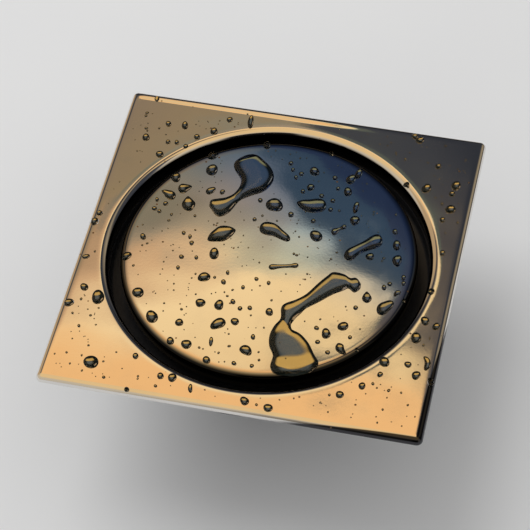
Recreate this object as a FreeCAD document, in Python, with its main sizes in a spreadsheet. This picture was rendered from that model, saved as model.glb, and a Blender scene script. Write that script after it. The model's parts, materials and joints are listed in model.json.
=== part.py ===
import FreeCAD, Part
import os
import re

import Sketcher
from FreeCAD import Placement, Rotation, Vector

# Square floor drain with a round flush cover, in millimetres.
# The origin is the middle of the cover at finished floor level, +Z up; depths are counted down from it.

NEAR = 1e-4     # two lengths closer than this are the same
SIDES = 4       # sides of the frame, and what stands once for each side or corner
NUT_SIDES = 6   # sides of a nut
TO_CORNER = 45.0    # degrees from a side's middle to a corner
LIP_POINTS = 6      # points along the lipped side of the collar gasket
HOLE_RINGS = 3      # rings of holes in the basket's floor
HOLES_IN_RING = 6   # holes that each ring has more than the ring inside it
DIAGONAL = "1.4142"     # diagonal of a square over its side

# Name, value and meaning of every driving size.
SIZES = [
    ("frame_side", "150", "outer side of the square frame"),
    ("sheet", "1.5", "thickness of the frame and cover sheet"),
    ("frame_corner", "2.5", "radius of the frame's corners in plan"),
    ("edge_roll", "2.2", "outside bend radius of the frame's outer edge"),
    ("skirt_depth", "3", "depth of the frame's turned-down skirt"),
    ("frame_land", "11", "narrowest width of frame beside the opening's wall"),
    ("opening_roll", "3", "outside bend radius of the opening's edge"),
    ("collar_depth", "8", "depth of the collar drawn down round the opening"),
    ("ring_slot", "5", "width of the slot between the cover and the opening"),
    ("cover_roll", "2", "outside bend radius of the cover's edge"),
    ("cover_rim", "6", "depth of the cover's turned-down rim"),
    ("spider_sheet", "1.2", "thickness of the cover's four-armed stand"),
    ("arm_width", "12", "width of one arm and leg of the stand"),
    ("leg_inset", "9", "distance of the legs' outer faces from the cover's edge"),
    ("leg_bend", "2.2", "outside bend radius at the top of a leg"),
    ("arm_root", "6", "rounding of the notches between the arms"),
    ("spider_hole", "7", "radius of the hole in the middle of the stand"),
    ("foot_height", "4", "height of a rubber foot"),
    ("foot_bite", "2.2", "length of leg that sits inside a foot"),
    ("foot_wall", "1.8", "rubber round the leg in a foot"),
    ("foot_fit", "0.1", "clearance of the leg in its foot"),
    ("foot_round", "0.8", "rounding of a foot's upright edges"),
    ("seat_drop", "1", "depth of the feet's seats under the foot of the bowl's wall"),
    ("seat_lift", "1", "height of a seat's root above the bowl's lowest edge"),
    ("seat_margin", "2", "width of seat beyond the foot"),
    ("stop_gap", "0.4", "gap between a foot and the stop that centres it"),
    ("stop_thickness", "1.5", "thickness of a stop"),
    ("stop_rise", "2.6", "height of a stop above its seat"),
    ("flange_gap", "1", "gap between the body's flange and the frame's skirt"),
    ("flange_thickness", "3", "thickness of the body's square flange"),
    ("flange_corner", "4", "corner radius of the body's square flange"),
    ("gasket_thickness", "2", "radial thickness of the collar gasket"),
    ("gasket_height", "3.6", "height of the collar gasket"),
    ("gasket_lip", "0.5", "depth of the grooves between the gasket's lips"),
    ("seal_fit", "0.05", "clearance of a static seal at its faces"),
    ("body_wall", "2.5", "wall of the moulded body"),
    ("collar_foot", "0.5", "gap under the collar, above the gasket's ledge"),
    ("bowl_side", "4.5", "height of the bowl's wall under the gasket's ledge"),
    ("bowl_fall", "4.5", "fall of the bowl's floor towards the pot"),
    ("ledge_width", "4", "width of the ledge that carries the basket"),
    ("rim_recess", "2.5", "depth of the recess for the basket's rim"),
    ("pot_shelf", "3", "width of the pot's floor round the valve"),
    ("pot_height", "10.5", "depth of the pot's floor under the basket's ledge"),
    ("pot_fall", "1", "fall of the pot's floor towards the valve"),
    ("recess_margin", "2", "width of the valve's recess beyond the outlet"),
    ("core_seat", "3.5", "depth of the recess for the valve's flange"),
    ("outlet_radius", "25", "outside radius of the outlet, for a 50 mm pipe"),
    ("outlet_wall", "2.2", "wall of the outlet"),
    ("lead_in", "2", "length of the taper at the outlet's end"),
    ("lead_step", "0.7", "how much the outlet narrows over that taper"),
    ("outlet_spare", "1.4", "outlet left below the open valve"),
    ("rib_count", "8", "ribs under the bowl"),
    ("rib_thickness", "2", "thickness of a rib"),
    ("rib_root", "1", "how far a rib runs into the walls it joins"),
    ("body_round", "1.2", "rounding of the bowl's inner edges"),
    ("stud_inset", "13", "distance of the studs from the frame's sides"),
    ("stud_radius", "2.5", "radius of an M5 stud"),
    ("stud_end", "2.5", "length of stud below its nut"),
    ("stud_fit", "0.3", "clearance of a stud in its boss"),
    ("boss_radius", "5.2", "outside radius of a stud's boss"),
    ("boss_height", "3.5", "height of a boss under the flange"),
    ("washer_radius", "5", "outside radius of a washer"),
    ("washer_thickness", "1", "thickness of a washer"),
    ("nut_corner", "4.62", "corner radius of a nut of 8 mm across flats"),
    ("nut_height", "4", "height of a nut"),
    ("basket_sheet", "0.8", "sheet of the strainer basket"),
    ("basket_gap", "0.5", "clearance of the basket's rim in its recess"),
    ("basket_drop", "1", "gap between the basket's wall and the pot's wall"),
    ("basket_taper", "2", "narrowing of the basket towards its floor"),
    ("basket_lift", "0.7", "gap between the basket's underside and the pot's floor"),
    ("basket_round", "1.6", "outside radius at the foot of the basket's wall"),
    ("slot_count", "24", "slots in the basket's wall"),
    ("slot_width", "2.4", "width of a slot"),
    ("slot_start", "2", "distance of the slots below the basket's rim"),
    ("slot_margin", "2.2", "distance of the slots above the basket's underside"),
    ("hole_radius", "1.4", "radius of a hole in the basket's floor"),
    ("hole_step", "6", "spacing of the rings of holes"),
    ("handle_width", "8", "width of the basket's handle"),
    ("handle_sheet", "1", "thickness of the handle"),
    ("handle_inset", "3", "distance of the handle's uprights from the pot's wall"),
    ("handle_margin", "1.5", "distance of the handle's ends from the edge of the rim's recess"),
    ("handle_rise", "10.5", "height of the handle's top above the basket's ledge"),
    ("handle_bend", "2.4", "outside bend radius of the handle"),
    ("core_fit", "0.4", "clearance of the valve's flange in its recess"),
    ("core_flange", "2", "thickness of the valve's flange"),
    ("flange_seal", "1.2", "thickness of the seal under that flange"),
    ("tube_gap", "1.2", "gap between the valve's upper tube and the outlet, for the O-ring"),
    ("core_wall", "1.8", "wall of the valve's tube"),
    ("core_step", "3.6", "how much the tube narrows at its waist"),
    ("waist_drop", "7", "distance of the waist below the valve's ledge"),
    ("waist_length", "4", "length over which the tube narrows"),
    ("seat_tube", "12", "length of the lower tube, down to the valve's seat"),
    ("ring_drop", "3.5", "distance of the O-ring's middle below the valve's ledge"),
    ("ring_section", "0.75", "section radius of the O-ring"),
    ("groove_width", "1.9", "width of the O-ring's groove"),
    ("hub_radius", "3.6", "outside radius of the stem's guide"),
    ("hub_height", "6", "height of the guide"),
    ("spoke_count", "3", "spokes that carry the guide"),
    ("spoke_thickness", "1.8", "thickness of a spoke"),
    ("spoke_height", "4", "height of a spoke"),
    ("stem_radius", "1.5", "radius of the valve's stem"),
    ("stem_fit", "0.1", "clearance of the stem in its guide"),
    ("stem_spare", "6.8", "height of the stem's end above its guide when the valve is open"),
    ("clip_gap", "0.6", "length of stem above the clip"),
    ("clip_radius", "3.1", "outside radius of the stem's clip"),
    ("clip_mouth", "1.8", "width of the opening in the clip"),
    ("clip_thickness", "0.6", "thickness of the clip"),
    ("clip_groove", "0.4", "depth of the clip's groove in the stem"),
    ("retainer_radius", "5", "radius of the spring's upper plate"),
    ("retainer_thickness", "1.4", "thickness of that plate"),
    ("retainer_lip", "1.2", "depth of the lip that centres the spring"),
    ("spring_radius", "3", "mean radius of the spring"),
    ("wire_radius", "0.3", "radius of the spring's wire"),
    ("spring_turns", "5", "turns of the spring"),
    ("travel", "6", "stroke of the valve"),
    ("cap_overlap", "0.4", "how far the cap reaches beyond the tube"),
    ("cap_plate", "1.4", "thickness of the cap at its edge"),
    ("cap_dish", "1.2", "how far the cap's underside drops to its middle"),
    ("cap_boss", "4", "radius of the boss on the cap"),
    ("cap_boss_rise", "3", "height of that boss above the cap's plate"),
    ("cap_ribs", "6", "ribs on the cap"),
    ("cap_rib_margin", "6.4", "distance of the ribs' ends from the cap's edge"),
    ("cap_seal", "1.2", "thickness of the cap's seal"),
    ("seal_reach", "2.7", "how far the cap's seal reaches inside the tube"),
    ("cap_nut_corner", "3.2", "corner radius of the nut under the cap"),
    ("cap_nut_height", "2.2", "height of that nut"),
]

doc = FreeCAD.newDocument("floor_drain")
sheet = doc.addObject("Spreadsheet::Sheet", "sizes")
for row, (alias, value, meaning) in enumerate(SIZES, start=1):
    sheet.set("A%d" % row, meaning)
    sheet.set("B%d" % row, value)
    sheet.setAlias("B%d" % row, alias)
doc.recompute()

subparts = []


def size(formula):
    """Millimetres that a formula of sizes gives: names and numbers with spaced + - * / and no brackets."""
    total = 0.0
    sign = 1.0
    term = None
    action = "*"
    for word in formula.split():
        if word in "+-":
            total += sign * (term or 0.0)
            sign = 1.0 if word == "+" else -1.0
            term = None
            action = "*"
        elif word in "*/":
            action = word
        else:
            value = float(sheet.get(word)) if word[0].isalpha() else float(word)
            if term is None:
                term = value
            elif action == "*":
                term *= value
            else:
                term /= value
    return total + sign * (term or 0.0)


def mirrored(formula):
    """The formula with every sign turned."""
    words = formula.split()
    if words[0] not in "+-":
        words = ["+"] + words
    turned = [{"+": "-", "-": "+"}.get(word, word) for word in words]
    return " ".join(turned[1:] if turned[0] == "+" else turned)


def bound(formula):
    """The same formula as the document writes it, with each name looked up in the sheet."""
    return re.sub(r"[a-z][a-z_]*", lambda name: "sizes." + name.group(0), formula)


# Radii and places, worked inwards from the frame's sides.
OPENING = "frame_side / 2 - frame_land"
COVER = OPENING + " - ring_slot"
LEG = COVER + " - leg_inset"
MOUTH = OPENING + " + sheet + gasket_thickness"
STUD = "frame_side / 2 - stud_inset"
STUDS = [(across, up) for across in (STUD, mirrored(STUD)) for up in (STUD, mirrored(STUD))]

# Radii, worked outwards from the outlet's pipe, and inwards from its bore.
RECESS = "outlet_radius + recess_margin"
POT = RECESS + " + pot_shelf"
POT_EDGE = POT + " + ledge_width"
BORE = "outlet_radius - outlet_wall"
UPPER_TUBE = BORE + " - tube_gap"
LOWER_TUBE = UPPER_TUBE + " - core_step"
CAP = LOWER_TUBE + " + cap_overlap"
RING_MIDDLE = BORE + " - seal_fit - ring_section"

# Heights of the body's levels, from the floor down.
GASKET_LEDGE = "- collar_depth - collar_foot"
BOWL = GASKET_LEDGE + " - bowl_side"
FOOT_SEAT = BOWL + " - seat_drop"
LEG_END = FOOT_SEAT + " + foot_height - foot_bite"
POT_RIM = BOWL + " - bowl_fall"
LEDGE = POT_RIM + " - rim_recess"
POT_FLOOR = LEDGE + " - pot_height"
RECESS_TOP = POT_FLOOR + " - pot_fall"
CORE_LEDGE = RECESS_TOP + " - core_seat"
BOSS_LOW = "- sheet - flange_thickness - boss_height"
BASKET_TOP = LEDGE + " + basket_sheet"
BASKET_LOW = POT_FLOOR + " + basket_lift"

# Heights of the valve, shut.
FLANGE_UNDER = CORE_LEDGE + " + flange_seal"
RING_HEIGHT = CORE_LEDGE + " - ring_drop"
WAIST = CORE_LEDGE + " - waist_drop"
GUIDE_TOP = WAIST + " - waist_length"
VALVE_SEAT = GUIDE_TOP + " - seat_tube"
CAP_TOP = VALVE_SEAT + " - cap_seal"
CAP_UNDER = CAP_TOP + " - cap_plate - cap_dish"
STEM_END = CAP_UNDER + " - cap_nut_height - clip_gap"
OUTLET_END = STEM_END + " - travel - outlet_spare"
STEM_TOP = GUIDE_TOP + " + travel + stem_spare"
CLIP_TOP = STEM_TOP + " - clip_gap"
PLATE_TOP = CLIP_TOP + " - clip_thickness"
PLATE_UNDER = PLATE_TOP + " - retainer_thickness"


def new_body(label):
    """A sub-part built from features, on its own origin."""
    body = doc.addObject("PartDesign::Body", label)
    body.Label = label
    body.Placement = Placement()
    subparts.append(body)
    return body


def new_sketch(body, role, height=None, turn=0.0):
    """A sketch on one of the body's origin planes, lifted along its normal and turned about the upright."""
    sketch = body.newObject("Sketcher::SketchObject", body.Label + "_sketch")
    plane = [item for item in body.Origin.OriginFeatures if item.Role == role][0]
    sketch.AttachmentSupport = [(plane, "")]
    sketch.MapMode = "FlatFace"
    if turn:
        sketch.AttachmentOffset = Placement(Vector(), Rotation(Vector(0, 1, 0), turn))
    if height:
        sketch.setExpression(".AttachmentOffset.Base.z", bound(height))
    return sketch


def tie(sketch, kind, ends, formula):
    """One dimension of a sketch, driven by the sheet."""
    number = sketch.addConstraint(Sketcher.Constraint(kind, *ends, size(formula)))
    sketch.setExpression("Constraints[%d]" % number, bound(formula))


def outline(sketch, corners):
    """A closed run of straight lines through corners that are pairs of formulas."""
    points = [Vector(size(across), size(up), 0) for across, up in corners]
    first = sketch.GeometryCount
    count = len(points)
    for step in range(count):
        sketch.addGeometry(Part.LineSegment(points[step], points[(step + 1) % count]))
    for step in range(count):
        after = first + (step + 1) % count
        sketch.addConstraint(Sketcher.Constraint("Coincident", first + step, 2, after, 1))
    for step, (across, up) in enumerate(corners):
        tie(sketch, "DistanceX", (-1, 1, first + step, 1), across)
        tie(sketch, "DistanceY", (-1, 1, first + step, 1), up)
    return sketch


def circle(sketch, across, up, radius):
    """A circle whose middle and radius are formulas."""
    middle = Vector(size(across), size(up), 0)
    number = sketch.addGeometry(Part.Circle(middle, Vector(0, 0, 1), size(radius)))
    tie(sketch, "DistanceX", (-1, 1, number, 3), across)
    tie(sketch, "DistanceY", (-1, 1, number, 3), up)
    tie(sketch, "Radius", (number,), radius)
    return sketch


def box_outline(sketch, left, right, low, high):
    """A rectangle between two pairs of formulas."""
    return outline(sketch, [(left, low), (right, low), (right, high), (left, high)])


def feature(body, kind, sketch):
    """A feature of the given kind from one sketch."""
    made = body.newObject("PartDesign::" + kind, body.Label + "_" + kind.lower())
    made.Profile = sketch
    sketch.Visibility = False
    return made


def revolve(body, corners, kind="Revolution"):
    """Turn a section, given as radius and height, about the drain's axis."""
    sketch = outline(new_sketch(body, "XZ_Plane"), corners)
    made = feature(body, kind, sketch)
    made.ReferenceAxis = (sketch, ["V_Axis"])
    made.Angle = 360.0
    doc.recompute()
    return made


def pad(body, sketch, length, centred=False):
    """Thicken a sketch along its normal, or both ways from it."""
    made = feature(body, "Pad", sketch)
    made.setExpression("Length", bound(length))
    made.Midplane = centred
    doc.recompute()
    return made


def pocket(body, sketch, length, upwards=False, centred=False):
    """Cut a sketch out of the body and make sure that material went."""
    before = body.Shape.Volume
    made = feature(body, "Pocket", sketch)
    made.setExpression("Length", bound(length))
    made.Reversed = upwards
    made.Midplane = centred
    doc.recompute()
    if made.Shape.Volume > before - NEAR:
        raise ValueError(body.Label + ": a pocket cuts nothing")
    return made


def polar(body, originals, count):
    """Repeat features about the drain's axis."""
    made = body.newObject("PartDesign::PolarPattern", body.Label + "_polar")
    made.Originals = originals
    axis = [item for item in body.Origin.OriginFeatures if item.Role == "Z_Axis"][0]
    made.Axis = (axis, [""])
    made.Angle = 360.0
    made.setExpression("Occurrences", bound(count) if not count.isdigit() else count)
    body.Tip = made
    doc.recompute()
    return made


def fillet(body, wanted, radius):
    """Round the edges that a test picks out, all by one radius."""
    edges = body.Shape.Edges
    names = ["Edge%d" % number for number, edge in enumerate(edges, start=1) if wanted(edge)]
    if not names:
        raise ValueError(body.Label + ": no edge to round")
    base = body.Tip
    made = body.newObject("PartDesign::Fillet", body.Label + "_fillet")
    made.Base = (base, names)
    made.setExpression("Radius", bound(radius))
    doc.recompute()
    return made


def ring_edge(radius, height):
    """A test for the circular edges about the axis at a radius and height."""
    def wanted(edge):
        """Whether the edge is one of them."""
        curve = edge.Curve
        if not isinstance(curve, Part.Circle):
            return False
        middle = curve.Center
        on_axis = abs(middle.x) < NEAR and abs(middle.y) < NEAR
        return on_axis and abs(curve.Radius - size(radius)) < NEAR and abs(middle.z - size(height)) < NEAR
    return wanted


def upright_edge(reach):
    """A test for the upright edges at the corners of a square of the given half side."""
    def wanted(edge):
        """Whether the edge is one of them."""
        box = edge.BoundBox
        upright = box.XLength < NEAR and box.YLength < NEAR
        at_corner = all(abs(abs(place) - size(reach)) < NEAR for place in (box.XMin, box.YMin))
        return upright and at_corner
    return wanted


def level_loop(reach, height):
    """A test for the edges at one height that run round a square of the given half side."""
    def wanted(edge):
        """Whether the edge is one of them."""
        box = edge.BoundBox
        level = abs(box.ZMin - size(height)) < NEAR and abs(box.ZMax - size(height)) < NEAR
        farthest = max(abs(box.XMin), abs(box.XMax), abs(box.YMin), abs(box.YMax))
        return level and abs(farthest - size(reach)) < NEAR
    return wanted


def bend_edge(across, height):
    """A test for the level straight edges that lie square to X or Y at a distance and height."""
    def wanted(edge):
        """Whether the edge is one of them."""
        if not isinstance(edge.Curve, Part.Line):
            return False
        box = edge.BoundBox
        level = abs(box.ZMin - size(height)) < NEAR and abs(box.ZMax - size(height)) < NEAR
        square_to_x = box.XLength < NEAR and abs(abs(box.XMin) - size(across)) < NEAR
        square_to_y = box.YLength < NEAR and abs(abs(box.YMin) - size(across)) < NEAR
        return level and (square_to_x or square_to_y)
    return wanted


def standing_edge(length):
    """A test for the upright edges of one length."""
    def wanted(edge):
        """Whether the edge is one of them."""
        return abs(edge.BoundBox.ZLength - size(length)) < NEAR
    return wanted


def make_frame():
    """The pressed square frame: flat top, skirt bent down outside, collar drawn down round the opening."""
    body = new_body("frame_plate")
    half = "frame_side / 2"
    inner = "frame_side / 2 - sheet"
    outer = box_outline(new_sketch(body, "XY_Plane", "- skirt_depth"), "- " + half, half, "- " + half, half)
    pad(body, outer, "skirt_depth")
    fillet(body, upright_edge(half), "frame_corner")
    hollow = box_outline(
        new_sketch(body, "XY_Plane", "- skirt_depth"), "sheet - " + half, inner, "sheet - " + half, inner
    )
    pocket(body, hollow, "skirt_depth - sheet", upwards=True)
    fillet(body, upright_edge(inner), "frame_corner - sheet")
    fillet(body, level_loop(inner, "- sheet"), "edge_roll - sheet")
    revolve(body, [
        (OPENING, "0"),
        (OPENING, "- collar_depth"),
        (OPENING + " + sheet", "- collar_depth"),
        (OPENING + " + sheet", "0"),
    ])
    opening = circle(new_sketch(body, "XY_Plane", "- skirt_depth"), "0", "0", OPENING)
    pocket(body, opening, "skirt_depth", upwards=True)
    fillet(body, ring_edge(OPENING + " + sheet", "- sheet"), "opening_roll - sheet")
    fillet(body, ring_edge(OPENING, "0"), "opening_roll")
    fillet(body, level_loop(half, "0"), "edge_roll")


def make_cover():
    """The round cover: a flat disc whose edge is rolled down into a short rim."""
    body = new_body("cover_disc")
    revolve(body, [
        ("0", "0"),
        (COVER, "0"),
        (COVER, "- cover_rim"),
        (COVER + " - sheet", "- cover_rim"),
        (COVER + " - sheet", "- sheet"),
        ("0", "- sheet"),
    ])
    fillet(body, ring_edge(COVER + " - sheet", "- sheet"), "cover_roll - sheet")
    fillet(body, ring_edge(COVER, "0"), "cover_roll")


def make_stand():
    """The cover's stand: a four-armed stamping spot-welded under the disc, its arms bent down as legs."""
    body = new_body("cover_stand")
    under = "- sheet - spider_sheet"
    inside = LEG + " - spider_sheet"
    arm = pad(body, outline(new_sketch(body, "XZ_Plane"), [
        ("0", "- sheet"),
        (LEG, "- sheet"),
        (LEG, LEG_END),
        (inside, LEG_END),
        (inside, under),
        ("0", under),
    ]), "arm_width", centred=True)
    polar(body, [arm], str(SIDES))
    fillet(body, upright_edge("arm_width / 2"), "arm_root")
    fillet(body, bend_edge(inside, under), "leg_bend - spider_sheet")
    fillet(body, bend_edge(LEG, "- sheet"), "leg_bend")
    pocket(body, circle(new_sketch(body, "XY_Plane", "- sheet"), "0", "0", "spider_hole"), "spider_sheet")


def make_feet():
    """Four rubber feet, each slotted over the end of one leg."""
    inner_face = LEG + " - spider_sheet - foot_fit"
    outer_face = LEG + " + foot_fit"
    side_face = "arm_width / 2 + foot_fit"
    for number in range(SIDES):
        body = new_body("cover_foot_%d" % (number + 1))
        block = box_outline(
            new_sketch(body, "XY_Plane", FOOT_SEAT),
            inner_face + " - foot_wall",
            outer_face + " + foot_wall",
            "- arm_width / 2 - foot_fit - foot_wall",
            side_face + " + foot_wall",
        )
        pad(body, block, "foot_height")
        fillet(body, standing_edge("foot_height"), "foot_round")
        slot = box_outline(
            new_sketch(body, "XY_Plane", FOOT_SEAT + " + foot_height"),
            inner_face, outer_face, "- arm_width / 2 - foot_fit", side_face,
        )
        pocket(body, slot, "foot_bite")
        body.Placement = Placement(Vector(), Rotation(Vector(0, 0, 1), 360.0 / SIDES * number))


def make_drain_body():
    """The moulded body: square flange, bowl that falls to a pot, ledges for basket and valve, outlet."""
    body = new_body("drain_body")
    revolve(body, [
        (MOUTH, "- sheet"),
        (MOUTH, GASKET_LEDGE),
        (OPENING, GASKET_LEDGE),
        (OPENING, BOWL),
        (POT_EDGE, POT_RIM),
        (POT_EDGE, LEDGE),
        (POT, LEDGE),
        (POT, POT_FLOOR),
        (RECESS, RECESS_TOP),
        (RECESS, CORE_LEDGE),
        (BORE, CORE_LEDGE),
        (BORE, OUTLET_END),
        ("outlet_radius - lead_step", OUTLET_END),
        ("outlet_radius", OUTLET_END + " + lead_in"),
        ("outlet_radius", CORE_LEDGE + " - body_wall"),
        (RECESS + " + body_wall", CORE_LEDGE + " - body_wall"),
        (POT + " + body_wall", POT_FLOOR + " - body_wall"),
        (POT + " + body_wall", LEDGE + " - body_wall"),
        (POT_EDGE + " + body_wall", LEDGE + " - body_wall"),
        (POT_EDGE + " + body_wall", POT_RIM + " - body_wall"),
        (OPENING + " + body_wall", BOWL + " - body_wall"),
        (OPENING + " + body_wall", GASKET_LEDGE + " - body_wall"),
        (MOUTH + " + body_wall", GASKET_LEDGE + " - body_wall"),
        (MOUTH + " + body_wall", "- sheet"),
    ])
    fillet(body, ring_edge(OPENING, BOWL), "body_round")
    fillet(body, ring_edge(POT_EDGE, POT_RIM), "body_round")
    fillet(body, ring_edge(OPENING + " + body_wall", BOWL + " - body_wall"), "body_round")

    reach = "frame_side / 2 - sheet - flange_gap"
    low = "- frame_side / 2 + sheet + flange_gap"
    flange = box_outline(new_sketch(body, "XY_Plane", "- sheet - flange_thickness"), low, reach, low, reach)
    circle(flange, "0", "0", MOUTH)
    pad(body, flange, "flange_thickness")
    fillet(body, upright_edge(reach), "flange_corner")

    rib = pad(body, outline(new_sketch(body, "XZ_Plane"), [
        (POT + " + body_wall - rib_root", CORE_LEDGE),
        (POT + " + body_wall - rib_root", LEDGE + " - body_wall / 2"),
        (OPENING + " + body_wall - rib_root", BOWL + " - body_wall / 2"),
        (OPENING + " + body_wall - rib_root", BOWL + " - body_wall"),
    ]), "rib_thickness", centred=True)
    polar(body, [rib], "rib_count")

    seat = pad(body, box_outline(
        new_sketch(body, "XY_Plane", POT_RIM + " + seat_lift"),
        LEG + " - spider_sheet - foot_fit - foot_wall - seat_margin",
        LEG + " + foot_fit + foot_wall + seat_margin",
        "- arm_width / 2 - foot_fit - foot_wall - seat_margin",
        "arm_width / 2 + foot_fit + foot_wall + seat_margin",
    ), "bowl_fall - seat_lift - seat_drop")
    polar(body, [seat], str(SIDES))
    stop = pad(body, box_outline(
        new_sketch(body, "XY_Plane", FOOT_SEAT),
        LEG + " + foot_fit + foot_wall + stop_gap",
        LEG + " + foot_fit + foot_wall + stop_gap + stop_thickness",
        "- arm_width / 2",
        "arm_width / 2",
    ), "stop_rise")
    polar(body, [stop], str(SIDES))

    bosses = new_sketch(body, "XY_Plane", BOSS_LOW)
    holes = new_sketch(body, "XY_Plane", "- sheet")
    for across, up in STUDS:
        circle(bosses, across, up, "boss_radius")
        circle(holes, across, up, "stud_radius + stud_fit")
    pad(body, bosses, "boss_height")
    gusset = pad(body, box_outline(
        new_sketch(body, "XZ_Plane", turn=TO_CORNER),
        MOUTH + " + body_wall - rib_root",
        "frame_side / 2 * %s - stud_inset * %s - stud_radius - stud_fit - rib_root" % (DIAGONAL, DIAGONAL),
        BOSS_LOW,
        "- sheet - flange_thickness",
    ), "rib_thickness", centred=True)
    polar(body, [gusset], str(SIDES))
    pocket(body, holes, "flange_thickness + boss_height")


def make_gasket():
    """The gasket between the frame's collar and the body's mouth, with three lips outside."""
    body = new_body("collar_gasket")
    inner = OPENING + " + sheet + seal_fit"
    outer = MOUTH + " - seal_fit"
    groove = outer + " - gasket_lip"
    corners = [(inner, GASKET_LEDGE + " + gasket_height"), (inner, GASKET_LEDGE)]
    for level in range(LIP_POINTS):
        across = groove if level % 2 else outer
        corners.append((across, GASKET_LEDGE + " + gasket_height * %d / %d" % (level, LIP_POINTS - 1)))
    revolve(body, corners)


def make_fasteners():
    """Four welded studs under the frame, with the washers and nuts that pull the body up to it."""
    studs = new_body("frame_studs")
    sketch = new_sketch(studs, "XY_Plane", BOSS_LOW + " - washer_thickness - nut_height - stud_end")
    for across, up in STUDS:
        circle(sketch, across, up, "stud_radius")
    pad(studs, sketch, "flange_thickness + boss_height + washer_thickness + nut_height + stud_end")

    washers = new_body("stud_washers")
    sketch = new_sketch(washers, "XY_Plane", BOSS_LOW + " - washer_thickness")
    for across, up in STUDS:
        circle(sketch, across, up, "washer_radius")
        circle(sketch, across, up, "stud_radius + stud_fit")
    pad(washers, sketch, "washer_thickness")

    nuts = [
        make_nut(
            "stud_nut_%d" % number, across, up, BOSS_LOW + " - washer_thickness - nut_height",
            "nut_corner", "nut_height", "stud_radius + seal_fit",
        )
        for number, (across, up) in enumerate(STUDS, start=1)
    ]
    group = doc.addObject("Part::Compound", "stud_nuts")
    group.Label = "stud_nuts"
    group.Links = nuts
    subparts.append(group)


def make_nut(name, across, up, low, corner, height, bore):
    """A hexagon nut: a six-sided prism less its bore."""
    prism = doc.addObject("Part::Prism", name + "_prism")
    prism.Polygon = NUT_SIDES
    prism.setExpression("Circumradius", bound(corner))
    hole = doc.addObject("Part::Cylinder", name + "_bore")
    hole.setExpression("Radius", bound(bore))
    for solid in (prism, hole):
        solid.setExpression("Height", bound(height))
        solid.setExpression(".Placement.Base.x", bound(across))
        solid.setExpression(".Placement.Base.y", bound(up))
        solid.setExpression(".Placement.Base.z", bound(low))
    nut = doc.addObject("Part::Cut", name)
    nut.Base = prism
    nut.Tool = hole
    nut.Label = name
    doc.recompute()
    return nut


def make_basket():
    """The strainer basket: a pressed cup with a flat rim, a slotted wall and rings of holes in its floor."""
    body = new_body("strainer_basket")
    rim = POT_EDGE + " - basket_gap"
    wall = POT + " - basket_drop"
    foot = wall + " - basket_taper"
    revolve(body, [
        (rim, BASKET_TOP),
        (rim, LEDGE),
        (wall, LEDGE),
        (foot, BASKET_LOW),
        ("0", BASKET_LOW),
        ("0", BASKET_LOW + " + basket_sheet"),
        (foot + " - basket_sheet", BASKET_LOW + " + basket_sheet"),
        (wall + " - basket_sheet", BASKET_TOP),
    ])
    inner_foot = ring_edge(foot + " - basket_sheet", BASKET_LOW + " + basket_sheet")
    fillet(body, inner_foot, "basket_round - basket_sheet")
    fillet(body, ring_edge(foot, BASKET_LOW), "basket_round")
    fillet(body, ring_edge(wall + " - basket_sheet", BASKET_TOP), "basket_sheet")

    slot = pocket(body, box_outline(
        new_sketch(body, "YZ_Plane"),
        "- slot_width / 2",
        "slot_width / 2",
        BASKET_LOW + " + slot_margin",
        LEDGE + " - slot_start",
    ), POT, upwards=True)
    polar(body, [slot], "slot_count")
    pocket(body, circle(new_sketch(body, "XY_Plane", BASKET_LOW), "0", "0", "hole_radius"),
           "basket_sheet", upwards=True)
    for ring in range(1, HOLE_RINGS + 1):
        place = "hole_step * %d" % ring
        hole = pocket(body, circle(new_sketch(body, "XY_Plane", BASKET_LOW), place, "0", "hole_radius"),
                      "basket_sheet", upwards=True)
        polar(body, [hole], str(HOLES_IN_RING * ring))


def make_handle():
    """The basket's handle: a flat strap bent like a bridge, its feet spot-welded to the rim."""
    body = new_body("basket_handle")
    upright = POT + " - handle_inset"
    foot = POT_EDGE + " - handle_margin"
    top = LEDGE + " + handle_rise"
    right = [
        (upright + " - handle_sheet", top + " - handle_sheet"),
        (upright + " - handle_sheet", BASKET_TOP),
        (foot, BASKET_TOP),
        (foot, BASKET_TOP + " + handle_sheet"),
        (upright, BASKET_TOP + " + handle_sheet"),
        (upright, top),
    ]
    left = [(mirrored(across), up) for across, up in reversed(right)]
    pad(body, outline(new_sketch(body, "XZ_Plane"), right + left), "handle_width", centred=True)
    under_top = bend_edge(upright + " - handle_sheet", top + " - handle_sheet")
    fillet(body, under_top, "handle_bend - handle_sheet")
    fillet(body, bend_edge(upright, BASKET_TOP + " + handle_sheet"), "handle_bend - handle_sheet")
    fillet(body, bend_edge(upright, top), "handle_bend")
    fillet(body, bend_edge(upright + " - handle_sheet", BASKET_TOP), "handle_bend")


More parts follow.
